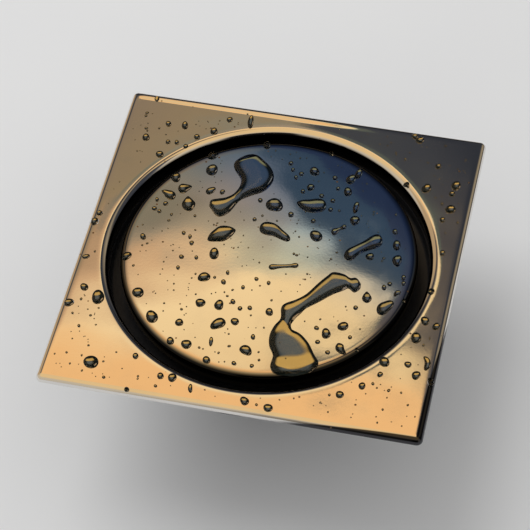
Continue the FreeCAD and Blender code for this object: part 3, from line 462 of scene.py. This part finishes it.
def tube_faces(count, rows, around):
    """Quads along closed tubes of rings, whose end rings have shrunk to points."""
    row, column = np.meshgrid(np.arange(rows - 1), np.arange(around), indexing="ij")
    beside = (column + 1) % around
    quads = np.stack([
        row * around + column, row * around + beside,
        (row + 1) * around + beside, (row + 1) * around + column,
    ], axis=-1).reshape(-1, 4)
    return (quads[None] + np.arange(count)[:, None, None] * rows * around).reshape(-1, 4).tolist()


def make_puddle(name, banks, rows=96, around=56):
    """A puddle between the curves through its two banks."""
    tips = on_plate(banks["tips"])
    sides = [np.concatenate([tips[:1], on_plate(banks[side]), tips[1:]]) for side in ("left", "right")]
    left, right = (smooth_run(side, rows) for side in sides)
    low, high, more = banks["swell"]
    swell = 1.0 + more * smooth_step(np.linspace(0.0, 1.0, rows), low, high)
    return mesh_piece(name, between_banks(left, right, around, swell), tube_faces(1, rows, around))


def run_banks(stations, rows):
    """Banks at both sides of a middle line, half * (1 - |u|^power)^(1/2) away, u from -1 to 1 along it.

    Power is the line's length over its mean half width, which makes round ends on any drop.
    """
    stations = np.array(stations, dtype=float)
    place = np.sin(np.linspace(-np.pi / 2, np.pi / 2, rows))
    dense = smooth_run(stations, 20 * rows)
    middle, half = dense[:, :2], dense[:, 2]
    way = np.concatenate([[0.0], np.cumsum(np.linalg.norm(np.diff(middle, axis=0), axis=1))])
    power = max(2.0, way[-1] / half.mean())
    wanted = (1 + place) / 2 * way[-1]
    line = np.stack([np.interp(wanted, way, middle[:, axis]) for axis in (0, 1)], axis=-1)
    reach = np.interp(wanted, way, half) * np.sqrt(np.clip(1 - np.abs(place) ** power, 0.0, None))
    ahead = np.gradient(line, axis=0)
    ahead /= np.linalg.norm(ahead, axis=1, keepdims=True)
    aside = np.stack([ahead[:, 1], -ahead[:, 0]], axis=-1) * reach[:, None]
    return on_plate(line - aside), on_plate(line + aside)


def make_runs(rows=26, around=28):
    """The irregular drops, each between the banks of its middle line."""
    points = np.stack([between_banks(*run_banks(stations, rows), around) for stations in RUNS])
    return mesh_piece("water_runs", points, tube_faces(len(RUNS), rows, around))


def dome_faces(count, rings, around):
    """Quads of many domes, each a grid from its sunk rim to its top, with its foot closed by one face."""
    row, column = np.meshgrid(np.arange(rings - 1), np.arange(around), indexing="ij")
    beside = (column + 1) % around
    quads = np.stack([
        row * around + column, row * around + beside,
        (row + 1) * around + beside, (row + 1) * around + column,
    ], axis=-1).reshape(-1, 4)
    shift = np.arange(count) * rings * around
    foot = np.arange(around)[::-1]
    sides = (quads[None] + shift[:, None, None]).reshape(-1, 4)
    return sides.tolist() + (foot[None] + shift[:, None]).tolist()


def domes(middle, length, width, bow, wobble, rings, around):
    """Points of drops: middle + u * (length * cos v + width * (sin v + bow * cos^2 v)), u from rim to top.

    u and the height follow a quarter turn, cos and sin of it, so the rim is steep and the top round.
    """
    lift = np.linspace(0.0, np.pi / 2, rings)
    reach = np.cos(lift) ** 0.9
    angle = np.linspace(0.0, 2 * np.pi, around, endpoint=False)
    swell = 1 + wobble[:, :1] * np.cos(2 * angle + wobble[:, 1:2]) + 0.6 * wobble[:, :1] * np.cos(
        3 * angle + wobble[:, 2:3])
    along = swell[:, None] * np.cos(angle) * reach[:, None]
    over = swell[:, None] * np.sin(angle) * reach[:, None] + bow[:, None, None] * along ** 2
    reached = along[..., None] * length[:, None, None] + over[..., None] * width[:, None, None]
    flat = middle[:, None, None] + reached
    half = np.minimum(np.linalg.norm(length, axis=1), np.linalg.norm(width, axis=1))
    height = WATER_DEPTH * np.tanh(STEEPNESS * half / WATER_DEPTH)
    up = np.sin(lift)[None, :, None] * height[:, None, None] * np.ones(around)
    up = up - WATER_SINK * (lift == 0)[None, :, None]
    points = np.concatenate([flat, up[..., None]], axis=-1)
    points[:, 0, :, 2] = -WATER_SINK
    return points


def make_drops():
    """The drops that the photograph shows one by one: pixel ellipses carried over to the plate."""
    table = np.array(DROPS, dtype=float)
    rng = np.random.default_rng(5)
    turn = np.radians(table[:, 4])
    middle = table[:, :2]
    ahead = np.stack([np.cos(turn), -np.sin(turn)], axis=-1) * table[:, 2:3] / 2
    aside = np.stack([np.sin(turn), np.cos(turn)], axis=-1) * table[:, 3:4] / 2
    centre = on_plate(middle)
    length = on_plate(middle + ahead) - centre
    width = on_plate(middle + aside) - centre
    wobble = np.stack([
        rng.uniform(0.02, 0.11, len(table)),
        rng.uniform(0, 6.28, len(table)),
        rng.uniform(0, 6.28, len(table)),
    ], axis=-1)
    points = domes(centre, length, width, table[:, 5], wobble, 9, 28)
    return mesh_piece("water_drops", points, dome_faces(*points.shape[:3]))


def make_fine_drops():
    """Fine drops sprinkled over frame and cover, none on the slot, the plate's edge or other water."""
    rng = np.random.default_rng(11)
    place = rng.uniform(-71 * MM, 71 * MM, (900, 2))
    radius = np.linalg.norm(place, axis=1)
    on_steel = (radius < 55 * MM) | (radius > 69 * MM)
    drops = on_plate(np.array(DROPS)[:, :2])
    banks = [on_plate(puddle[side]) for puddle in (UPPER_PUDDLE, LOWER_PUDDLE) for side in ("left", "right")]
    runs = on_plate(np.concatenate([np.array(stations, dtype=float)[:, :2] for stations in RUNS]))
    wet = np.concatenate([drops, runs, *banks, *[(banks[k] + banks[k + 1]) / 2 for k in (0, 2)]])
    clear = np.linalg.norm(place[:, None] - wet[None], axis=2).min(axis=1) > 3.4 * MM
    place = place[on_steel & clear][:330]
    size = (0.22 + 0.42 * rng.random(len(place)) ** 2.5) * MM
    turn = rng.uniform(0, np.pi, len(place))
    long_way = np.stack([np.cos(turn), np.sin(turn)], axis=-1)
    short_way = np.stack([-np.sin(turn), np.cos(turn)], axis=-1)
    stretch = rng.uniform(1.0, 1.35, len(place))
    wobble = np.stack([np.full(len(place), 0.05), turn, turn], axis=-1)
    length = long_way * (size * stretch)[:, None]
    points = domes(place, length, short_way * size[:, None], np.zeros(len(place)), wobble, 4, 10)
    return mesh_piece("water_specks", points, dome_faces(*points.shape[:3]))


# Node helpers

def add(tree, kind, settings=None, **inputs):
    """A node with its settings, whose inputs are sockets to link or values; _2 in a name picks input 2."""
    node = tree.nodes.new(kind)
    for key, value in (settings or {}).items():
        setattr(node, key, value)
    for key, value in inputs.items():
        socket = node.inputs[int(key[1:])] if key[0] == "_" else node.inputs[key.replace("_", " ")]
        if isinstance(value, bpy.types.NodeSocket):
            tree.links.new(value, socket)
        else:
            socket.default_value = value
    return node


def maths(tree, operation, first, second=0.0, third=0.0):
    """The result of one Math node."""
    return add(tree, "ShaderNodeMath", {"operation": operation}, _0=first, _1=second, _2=third).outputs[0]


def ease(tree, value, low, high):
    """0 below low, 1 above high and a smooth step between; low may be the larger."""
    node = add(
        tree, "ShaderNodeMapRange", {"interpolation_type": "SMOOTHSTEP"}, Value=value,
        From_Min=min(low, high), From_Max=max(low, high),
        To_Min=0.0 if low < high else 1.0, To_Max=1.0 if low < high else 0.0,
    )
    return node.outputs["Result"]


def blend(tree, share, first, second, mode="MIX"):
    """A colour mix of two colours by a share."""
    kind = {"data_type": "RGBA", "blend_type": mode}
    return add(tree, "ShaderNodeMix", kind, _0=share, _6=first, _7=second).outputs[2]


def ramp(tree, value, stops):
    """A colour ramp through (place, colour) stops."""
    node = add(tree, "ShaderNodeValToRGB", None, Fac=value)
    band = node.color_ramp
    while len(band.elements) < len(stops):
        band.elements.new(0.5)
    for element, (place, colour) in zip(band.elements, stops):
        element.position = place
        element.color = (*colour, 1.0)
    return node.outputs["Color"]


def new_group(name, inputs, outputs):
    """An empty node group with float, vector or colour sockets, with its input and output nodes."""
    group = bpy.data.node_groups.new(name, "ShaderNodeTree")
    kinds = {float: "NodeSocketFloat", "vector": "NodeSocketVector", "colour": "NodeSocketColor"}
    for socket_name, kind in inputs:
        group.interface.new_socket(socket_name, in_out="INPUT", socket_type=kinds[kind])
    for socket_name, kind in outputs:
        group.interface.new_socket(socket_name, in_out="OUTPUT", socket_type=kinds[kind])
    return group, group.nodes.new("NodeGroupInput"), group.nodes.new("NodeGroupOutput")


def use_group(tree, group, **values):
    """The group as a node in a material, with its own values."""
    return add(tree, "ShaderNodeGroup", {"node_tree": group}, **values)


def new_material(name, **constants):
    """A material with a Principled BSDF whose constants are set on its own sockets."""
    material = bpy.data.materials.new(name)
    material.use_nodes = True
    tree = material.node_tree
    shader = tree.nodes["Principled BSDF"]
    for key, value in constants.items():
        shader.inputs[key.replace("_", " ")].default_value = value
    return material, tree, shader


# Shared effects

def sheet_wave_group():
    """Rolled sheet is never quite flat: slow waves and faint orange peel, as a normal and a height."""
    group, given, out = new_group(
        "sheet_wave", [("Wave", float), ("Peel", float), ("Lean X", float), ("Lean Y", float)],
        [("Normal", "vector")],
    )
    place = add(group, "ShaderNodeTexCoord").outputs["Object"]
    slow = add(group, "ShaderNodeTexNoise", None, Vector=place, Scale=26.0, Detail=1.0, Roughness=0.4)
    peel = add(group, "ShaderNodeTexNoise", None, Vector=place, Scale=900.0, Detail=2.0, Roughness=0.5)
    split = add(group, "ShaderNodeSeparateXYZ", None, Vector=place)
    wave = maths(group, "MULTIPLY", slow.outputs[0], given.outputs["Wave"])
    skin = maths(group, "MULTIPLY", peel.outputs[0], given.outputs["Peel"])
    lean_x = maths(group, "MULTIPLY", split.outputs[0], given.outputs["Lean X"])
    lean_y = maths(group, "MULTIPLY", split.outputs[1], given.outputs["Lean Y"])
    height = maths(group, "ADD", maths(group, "ADD", wave, skin), maths(group, "ADD", lean_x, lean_y))
    bump = add(group, "ShaderNodeBump", None, Strength=1.0, Distance=1.0, Height=height)
    group.links.new(bump.outputs[0], out.inputs["Normal"])
    return group


def wet_film_group():
    """Dried spots, dust and a thin water film on steel, as masks from 0 to 1."""
    group, given, out = new_group("wet_film", [("Spots", float)], [("Haze", float), ("Dots", float)])
    place = add(group, "ShaderNodeTexCoord").outputs["Object"]
    cloud = add(group, "ShaderNodeTexNoise", None, Vector=place, Scale=60.0, Detail=4.0, Roughness=0.6)
    haze = ease(group, cloud.outputs[0], 0.42, 0.72)
    cell = add(group, "ShaderNodeTexVoronoi", None, Vector=place, Scale=420.0, Randomness=1.0)
    chance = add(group, "ShaderNodeSeparateColor", None, Color=cell.outputs["Color"]).outputs[0]
    dot = maths(group, "MULTIPLY", ease(group, cell.outputs["Distance"], 0.24, 0.12),
                ease(group, chance, 0.945, 0.97))
    dots = maths(group, "MULTIPLY", dot, given.outputs["Spots"])
    group.links.new(haze, out.inputs["Haze"])
    group.links.new(dots, out.inputs["Dots"])
    return group


def surface_grain_group():
    """Fine grain of a moulded or brushed skin: a stretched noise as a mask and a normal."""
    group, given, out = new_group(
        "surface_grain", [("Scale", float), ("Stretch", "vector"), ("Depth", float)],
        [("Mask", float), ("Normal", "vector")],
    )
    place = add(group, "ShaderNodeTexCoord").outputs["Object"]
    pulled = add(group, "ShaderNodeVectorMath", {"operation": "MULTIPLY"}, _0=place,
                 _1=given.outputs["Stretch"])
    noise = add(group, "ShaderNodeTexNoise", None, Vector=pulled.outputs[0], Scale=given.outputs["Scale"],
                Detail=3.0, Roughness=0.55)
    height = maths(group, "MULTIPLY", noise.outputs[0], given.outputs["Depth"])
    bump = add(group, "ShaderNodeBump", None, Strength=0.6, Distance=1.0, Height=height)
    group.links.new(noise.outputs[0], out.inputs["Mask"])
    group.links.new(bump.outputs[0], out.inputs["Normal"])
    return group


# Materials

def edge_shade_mask(tree, across, along, begin, end, width):
    """1 where painted shade darkens the sheet before an edge: nearer to the edge than a width that grows along it.
    """
    share = ease(tree, along, begin, end)
    reach = maths(tree, "SUBTRACT", HALF_SIDE + EDGE_SHADE_FADE, maths(tree, "MULTIPLY", share, width + EDGE_SHADE_FADE))
    past = maths(tree, "SUBTRACT", across, reach)
    return ease(tree, past, -EDGE_SHADE_FADE, EDGE_SHADE_FADE)


def polished_steel(name, wave_group, film_group, lean, painted_blue_reflection, painted_dark_rim, painted_edge_shade):
    """Mirror-polished stainless sheet under a thin water film, leaning a little out of level.

    The last three arguments paint light into the base colour. The first is how much painted reflection of blue
    sky the far right of the sheet gets; the second gives the radii between which painted shade turns the polish
    near black towards the edge; the third adds painted shade on the frame's edges at its near right corner.
    """
    material, tree, shader = new_material(name, Metallic=1.0, IOR=2.5)
    film = use_group(tree, film_group, Spots=1.0)
    wave = use_group(tree, wave_group, Wave=0.00022, Peel=0.0000012, Lean_X=lean[0], Lean_Y=lean[1])
    tone = blend(tree, film.outputs["Haze"], (0.80, 0.775, 0.74, 1), (0.76, 0.74, 0.72, 1))
    place = add(tree, "ShaderNodeTexCoord").outputs["Object"]
    split = add(tree, "ShaderNodeSeparateXYZ", None, Vector=place)
    x, y = split.outputs[0], split.outputs[1]
    # Painted reflection: towards the far right the base colour turns blue, standing in for the blue sky that the
    # cover mirrors.
    far_right = maths(tree, "ADD", maths(tree, "MULTIPLY", x, 0.5), maths(tree, "MULTIPLY", y, 0.87))
    tone = blend(tree, maths(tree, "MULTIPLY", ease(tree, far_right, -8 * MM, 36 * MM), painted_blue_reflection), tone,
                 (0.30, 0.47, 0.88, 1))
    # Painted shade: near the rolled edges the base colour turns near black, standing in for the dark they mirror,
    # on the frame inside its opening and on the cover round its rim.
    radius = add(tree, "ShaderNodeVectorMath", {"operation": "LENGTH"}, _0=place).outputs["Value"]
    rim = ease(tree, radius, painted_dark_rim[0], painted_dark_rim[1])
    # Painted shade: the frame's right and near edges turn dark, in a band that widens towards its near right
    # corner.
    if painted_edge_shade:
        right_edge = edge_shade_mask(tree, x, maths(tree, "MULTIPLY", y, -1.0), 8 * MM, 60 * MM, 2.6 * MM)
        near_edge = edge_shade_mask(tree, maths(tree, "MULTIPLY", y, -1.0), x, 8 * MM, 74 * MM, 2.0 * MM)
        tone = blend(tree, maths(tree, "MAXIMUM", right_edge, near_edge), tone, (0.05, 0.05, 0.055, 1))
    tone = blend(tree, rim, tone, (0.012, 0.012, 0.012, 1))
    colour = blend(tree, film.outputs["Dots"], tone, (0.24, 0.17, 0.12, 1))
    tree.links.new(colour, shader.inputs["Base Color"])
    rough = add(tree, "ShaderNodeMapRange", None, Value=film.outputs["Haze"], To_Min=0.03, To_Max=0.06)
    spotted = maths(tree, "MULTIPLY_ADD", film.outputs["Dots"], 0.25, rough.outputs[0])
    tree.links.new(spotted, shader.inputs["Roughness"])
    tree.links.new(wave.outputs["Normal"], shader.inputs["Normal"])
    return material


def satin_steel(grain_group):
    """Satin stainless of the inner stampings, screws and spring."""
    material, tree, shader = new_material("satin_steel", Metallic=1.0)
    grain = use_group(tree, grain_group, Scale=420.0, Stretch=(1.0, 8.0, 8.0), Depth=0.00004)
    colour = blend(tree, grain.outputs["Mask"], (0.52, 0.52, 0.51, 1), (0.66, 0.65, 0.64, 1))
    rough = add(tree, "ShaderNodeMapRange", None, Value=grain.outputs["Mask"], To_Min=0.24, To_Max=0.42)
    tree.links.new(colour, shader.inputs["Base Color"])
    tree.links.new(rough.outputs[0], shader.inputs["Roughness"])
    tree.links.new(grain.outputs["Normal"], shader.inputs["Normal"])
    return material


def moulded(name, grain_group, dark, light, rough, scale, depth):
    """A moulded plastic or rubber with two near tones and a fine grain."""
    material, tree, shader = new_material(name)
    grain = use_group(tree, grain_group, Scale=scale, Stretch=(1.0, 1.0, 1.0), Depth=depth)
    colour = blend(tree, grain.outputs["Mask"], (*dark, 1), (*light, 1))
    gloss = add(tree, "ShaderNodeMapRange", None, Value=grain.outputs["Mask"], To_Min=rough - 0.06,
                To_Max=rough + 0.08)
    tree.links.new(colour, shader.inputs["Base Color"])
    tree.links.new(gloss.outputs[0], shader.inputs["Roughness"])
    tree.links.new(grain.outputs["Normal"], shader.inputs["Normal"])
    return material


def water():
    """Clear water: a transmitting surface with the faintest ripple."""
    material, tree, shader = new_material("water", Roughness=0.0, IOR=1.333, Specular_IOR_Level=0.15,
                                          Transmission_Weight=1.0)
    place = add(tree, "ShaderNodeTexCoord").outputs["Object"]
    ripple = add(tree, "ShaderNodeTexNoise", None, Vector=place, Scale=160.0, Detail=1.0)
    tint = blend(tree, ripple.outputs[0], (1.0, 1.0, 1.0, 1), (0.97, 0.98, 0.98, 1))
    bump = add(tree, "ShaderNodeBump", None, Strength=0.5, Distance=0.00004, Height=ripple.outputs[0])
    tree.links.new(tint, shader.inputs["Base Color"])
    tree.links.new(bump.outputs[0], shader.inputs["Normal"])
    return material


def dress(piece, material):
    """The material in every slot of a piece."""
    piece.data.materials.clear()
    piece.data.materials.append(material)


# Surroundings

def make_world():
    """The room's light by direction: neutral for matt surfaces, an evening sky for what reflects."""
    world = bpy.data.worlds.new("evening")
    world.use_nodes = True
    bpy.context.scene.world = world
    tree = world.node_tree
    tree.nodes.clear()
    seen = add(tree, "ShaderNodeTexCoord").outputs["Generated"]
    way = add(tree, "ShaderNodeSeparateXYZ", None, Vector=seen)
    height = maths(tree, "MULTIPLY", maths(tree, "ARCSINE", way.outputs[2]), DEGREE)
    bearing = maths(tree, "MULTIPLY", maths(tree, "ARCTAN2", way.outputs[0], way.outputs[1]), DEGREE)

    def beside(centre, inner, outer):
        """1 within inner degrees of a bearing, 0 beyond outer degrees."""
        off = maths(tree, "WRAP", maths(tree, "SUBTRACT", bearing, centre), 180.0, -180.0)
        return ease(tree, maths(tree, "ABSOLUTE", off), outer, inner)

    def both(first, second):
        """The product of two masks."""
        return maths(tree, "MULTIPLY", first, second)

    # The place on the plate, in millimetres, that shows this direction to the camera.
    rise = maths(tree, "MAXIMUM", way.outputs[2], 0.04)
    slope_x = maths(tree, "DIVIDE", way.outputs[0], rise)
    slope_y = maths(tree, "DIVIDE", way.outputs[1], rise)
    plate_x = maths(tree, "MULTIPLY_ADD", slope_x, CAMERA.z / MM, CAMERA.x / MM)
    plate_y = maths(tree, "MULTIPLY_ADD", slope_y, CAMERA.z / MM, CAMERA.y / MM)
    spread = add(tree, "ShaderNodeCombineXYZ", None, X=plate_x, Y=plate_y)
    cloud = add(tree, "ShaderNodeTexNoise", None, Vector=spread.outputs[0], Scale=0.02, Detail=2.0,
                Roughness=0.45)
    drift = maths(tree, "MULTIPLY_ADD", cloud.outputs[0], 26.0, -13.0)
    up_left = maths(tree, "ADD", maths(tree, "MULTIPLY_ADD", plate_x, -0.6, drift),
                    maths(tree, "MULTIPLY", plate_y, 0.8))
    up_right = maths(tree, "ADD", maths(tree, "MULTIPLY_ADD", plate_x, 0.836, drift),
                     maths(tree, "MULTIPLY", plate_y, 0.549))
    fade = add(tree, "ShaderNodeMapRange", None, Value=up_left, From_Min=-60.0, From_Max=100.0)
    glow = ramp(tree, fade.outputs[0], [
        (0.0, (0.95, 0.68, 0.34)), (0.36, (1.10, 0.80, 0.42)), (0.46, (0.76, 0.47, 0.25)),
        (0.61, (0.46, 0.29, 0.16)), (0.75, (0.34, 0.25, 0.14)), (1.0, (0.30, 0.22, 0.145)),
    ])
    amber = blend(tree, ease(tree, plate_y, -38.0, -66.0), glow, (1.05, 0.60, 0.25, 1))
    slate = blend(tree, ease(tree, plate_y, 10.0, 60.0), (0.125, 0.103, 0.087, 1), (0.060, 0.062, 0.070, 1))
    slate = blend(tree, ease(tree, up_right, 60.0, 100.0), slate, (0.036, 0.039, 0.049, 1))
    dark_side = maths(tree, "MAXIMUM", ease(tree, up_right, 30.0, 53.0), ease(tree, plate_x, 78.0, 92.0))
    sky = blend(tree, dark_side, amber, slate)

    # The cover leans, so it alone mirrors the sky inside the frame's opening: greyer above the middle, blue at the
    # upper right and round the right rim.
    radius = add(tree, "ShaderNodeVectorMath", {"operation": "LENGTH"}, _0=spread.outputs[0]).outputs["Value"]
    from_cover = add(tree, "ShaderNodeVectorMath", {"operation": "DISTANCE"}, _0=spread.outputs[0],
                     _1=(20.0, 12.6, 0.0)).outputs["Value"]
    veil = both(ease(tree, maths(tree, "MULTIPLY_ADD", plate_x, -0.15, plate_y), 0.0, 14.0),
                ease(tree, plate_y, 43.0, 31.0))
    cover_sky = blend(tree, veil, amber, (0.62, 0.80, 1.00, 1), "MULTIPLY")
    cover_sky = blend(tree, ease(tree, plate_y, 31.0, 43.0), cover_sky, (0.88, 1.06, 1.30, 1), "MULTIPLY")
    slant = maths(tree, "MULTIPLY_ADD", drift, 0.25, maths(tree, "MULTIPLY_ADD", plate_x, 0.5, plate_y))
    blue = both(ease(tree, slant, 33.0, 42.0),
                ease(tree, maths(tree, "MULTIPLY_ADD", plate_y, 0.6, plate_x), 31.0, 43.0))
    right_end = both(ease(tree, plate_x, 60.0, 66.0), ease(tree, plate_y, -12.0, -4.0))
    crescent = both(ease(tree, from_cover, 48.5, 53.5), ease(tree, plate_x, 20.0, 44.0))
    dark_part = maths(tree, "MAXIMUM", maths(tree, "MAXIMUM", blue, right_end), crescent)
    cover_sky = blend(tree, dark_part, cover_sky, (0.106, 0.116, 0.096, 1))
    sky = blend(tree, ease(tree, radius, 69.5, 66.0), sky, cover_sky)

    def wall(under, centre, inner, outer, top, foot, colour):
        """A colour laid over another beside a bearing and below a height, eased from foot to top."""
        share = both(beside(centre, inner, outer), ease(tree, height, top, foot))
        return blend(tree, share, under, colour)

    # The rest of the room: cream walls, gold overhead, bronze and slate to the right, dark far off.
    room = blend(tree, ease(tree, height, 35.0, 68.0), (0.62, 0.54, 0.42, 1), (0.90, 0.63, 0.31, 1))
    room = wall(room, -50.0, 26.0, 44.0, 58.0, 46.0, (0.52, 0.36, 0.20, 1))
    turn = add(tree, "ShaderNodeMapRange", None, Value=bearing, From_Min=0.0, From_Max=120.0)
    right_side = ramp(tree, turn.outputs[0], [
        (0.0, (0.08, 0.07, 0.065)), (0.14, (0.09, 0.08, 0.07)), (0.27, (0.24, 0.195, 0.135)),
        (0.36, (0.37, 0.30, 0.20)), (0.42, (0.20, 0.165, 0.12)), (0.47, (0.05, 0.05, 0.055)),
        (0.70, (0.05, 0.055, 0.07)), (1.0, (0.40, 0.38, 0.35)),
    ])
    room = wall(room, 45.0, 46.0, 56.0, 66.0, 58.0, right_side)
    room = wall(room, 15.0, 40.0, 50.0, 16.0, 7.0, (0.02, 0.02, 0.024, 1))
    room = wall(room, -12.0, 26.0, 40.0, 54.0, 48.0, (0.055, 0.058, 0.066, 1))
    room = wall(room, -12.0, 20.0, 32.0, 45.0, 27.0, (0.015, 0.014, 0.015, 1))
    room = wall(room, -12.0, 20.0, 32.0, 5.0, 3.0, (0.20, 0.18, 0.16, 1))
    room = wall(room, 165.0, 18.0, 30.0, 48.0, 40.0, (0.02, 0.018, 0.018, 1))

    off = maths(tree, "MAXIMUM", maths(tree, "ABSOLUTE", plate_x), maths(tree, "ABSOLUTE", plate_y))
    shortened = maths(tree, "MULTIPLY", off, maths(tree, "MULTIPLY_ADD", dark_side, -0.55, 1.0))
    away = ease(tree, shortened, 95.0, 190.0)
    gloss = blend(tree, away, sky, room)

    # What is seen through water: grey ahead, gold in a band above it, two windows, and the rest dark.
    def near(azimuth, rise_angle, inner, outer):
        """1 within inner degrees of a direction, 0 beyond outer degrees."""
        flat = math.cos(math.radians(rise_angle))
        aim = (flat * math.sin(math.radians(azimuth)), flat * math.cos(math.radians(azimuth)),
               math.sin(math.radians(rise_angle)))
        dot = add(tree, "ShaderNodeVectorMath", {"operation": "DOT_PRODUCT"}, _0=seen, _1=aim)
        return ease(tree, dot.outputs["Value"], math.cos(math.radians(outer)), math.cos(math.radians(inner)))

    inside = blend(tree, near(-15.3, 51.0, 4.0, 13.0), (0.007, 0.009, 0.007, 1), (0.10, 0.11, 0.105, 1))
    band = both(ease(tree, height, 55.0, 58.5), ease(tree, height, 70.0, 66.0))
    inside = blend(tree, both(band, beside(-15.3, 20.0, 38.0)), inside, (0.66, 0.40, 0.11, 1))
    inside = blend(tree, near(-45.0, 25.0, 6.0, 12.0), inside, (0.52, 0.36, 0.20, 1))
    inside = blend(tree, near(135.0, 18.0, 6.0, 12.0), inside, (0.62, 0.54, 0.42, 1))

    path = add(tree, "ShaderNodeLightPath")
    through = maths(tree, "GREATER_THAN", path.outputs["Transmission Depth"], 0.5)
    reflected = blend(tree, through, gloss, inside)
    soft = blend(tree, ease(tree, height, -17.0, 53.0), (0.42, 0.42, 0.43, 1), (0.60, 0.60, 0.60, 1))
    mirrored = maths(tree, "MAXIMUM", path.outputs["Is Glossy Ray"], path.outputs["Is Transmission Ray"])
    lit = blend(tree, mirrored, soft, reflected)
    shown = blend(tree, path.outputs["Is Camera Ray"], lit, (0.86, 0.86, 0.86, 1))
    back = add(tree, "ShaderNodeBackground", None, Color=shown, Strength=1.0)
    out = add(tree, "ShaderNodeOutputWorld")
    tree.links.new(back.outputs[0], out.inputs["Surface"])


def make_stage():
    """A pale floor under the outlet and one wide soft lamp, which mirrors do not show."""
    mesh = bpy.data.meshes.new("floor")
    reach = 6.0
    corners = [(-reach, -reach, FLOOR), (reach, -reach, FLOOR), (reach, reach, FLOOR), (-reach, reach, FLOOR)]
    mesh.from_pydata(corners, [], [(0, 1, 2, 3)])
    floor = bpy.data.objects.new("floor", mesh)
    bpy.context.scene.collection.objects.link(floor)
    material, tree, shader = new_material("pale_floor", Roughness=0.9)
    place = add(tree, "ShaderNodeTexCoord").outputs["Object"]
    mottle = add(tree, "ShaderNodeTexNoise", None, Vector=place, Scale=9.0, Detail=3.0)
    tree.links.new(blend(tree, mottle.outputs[0], (0.80, 0.80, 0.80, 1), (0.84, 0.84, 0.835, 1)),
                   shader.inputs["Base Color"])
    dress(floor, material)
    lamp = bpy.data.lights.new("soft_lamp", "AREA")
    lamp.shape = "DISK"
    lamp.size = 1.6
    lamp.energy = 16.0
    placed = bpy.data.objects.new("soft_lamp", lamp)
    placed.location = (-0.9, 0.5, 1.7)
    placed.rotation_euler = (-placed.location).to_track_quat("-Z", "Y").to_euler()
    placed.visible_glossy = False
    placed.visible_transmission = False
    bpy.context.scene.collection.objects.link(placed)


def make_materials():
    """Every finish by its slot in the record, and the water."""
    wave, film, grain = sheet_wave_group(), wet_film_group(), surface_grain_group()
    finishes = {
        # The frame gets painted shade inside its opening and on its right and near edges.
        "frame_steel": polished_steel(
            "frame_steel", wave, film, lean=(0.0, 0.0), painted_blue_reflection=0.0, painted_dark_rim=(65.0 * MM, 64.3 * MM), painted_edge_shade=True,
        ),
        # The cover gets a painted reflection of blue sky on its far right and painted shade round its rim.
        "cover_steel": polished_steel(
            "cover_steel", wave, film, lean=COVER_LEAN, painted_blue_reflection=1.0, painted_dark_rim=(55.6 * MM, 58.4 * MM), painted_edge_shade=False,
        ),
        "satin_steel": satin_steel(grain),
    }
    for name, dark, light, rough, scale, depth in [
        ("black_plastic", (0.012, 0.012, 0.013), (0.026, 0.026, 0.028), 0.42, 700, 5e-5),
        ("grey_plastic", (0.36, 0.38, 0.39), (0.44, 0.46, 0.47), 0.40, 600, 4e-5),
        ("black_rubber", (0.016, 0.016, 0.016), (0.034, 0.034, 0.034), 0.68, 900, 6e-5),
        ("clear_silicone", (0.60, 0.60, 0.57), (0.72, 0.72, 0.69), 0.35, 500, 3e-5),
    ]:
        finishes[name] = moulded(name, grain, dark, light, rough, scale, depth)
    finishes["water"] = water()
    return finishes


def main():
    """Build the scene."""
    scene = bpy.context.scene
    scene.view_settings.view_transform = "Standard"
    make_camera()
    finishes = make_materials()
    frame_piece = make_frame_plate()
    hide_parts("frame_plate")
    dress(frame_piece, finishes["frame_steel"])
    cover_piece = make_cover_disc()
    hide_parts("cover_disc")
    dress(cover_piece, finishes["cover_steel"])
    spring = make_closing_spring()
    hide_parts("valve_spring")
    dress(spring, finishes["satin_steel"])
    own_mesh(spring)
    slots = {part["node"]: part["material_slot"] for part in frame["record"]["subparts"]}
    for node, piece in frame["nodes"].items():
        if node not in ("frame_plate", "cover_disc", "valve_spring"):
            dress(piece, finishes[slots[node]])
    wet = [
        make_puddle("water_puddle_upper", UPPER_PUDDLE),
        make_puddle("water_puddle_lower", LOWER_PUDDLE),
        make_drops(),
        make_runs(),
        make_fine_drops(),
    ]
    for piece in wet:
        dress(piece, finishes["water"])
    make_world()
    make_stage()


main()
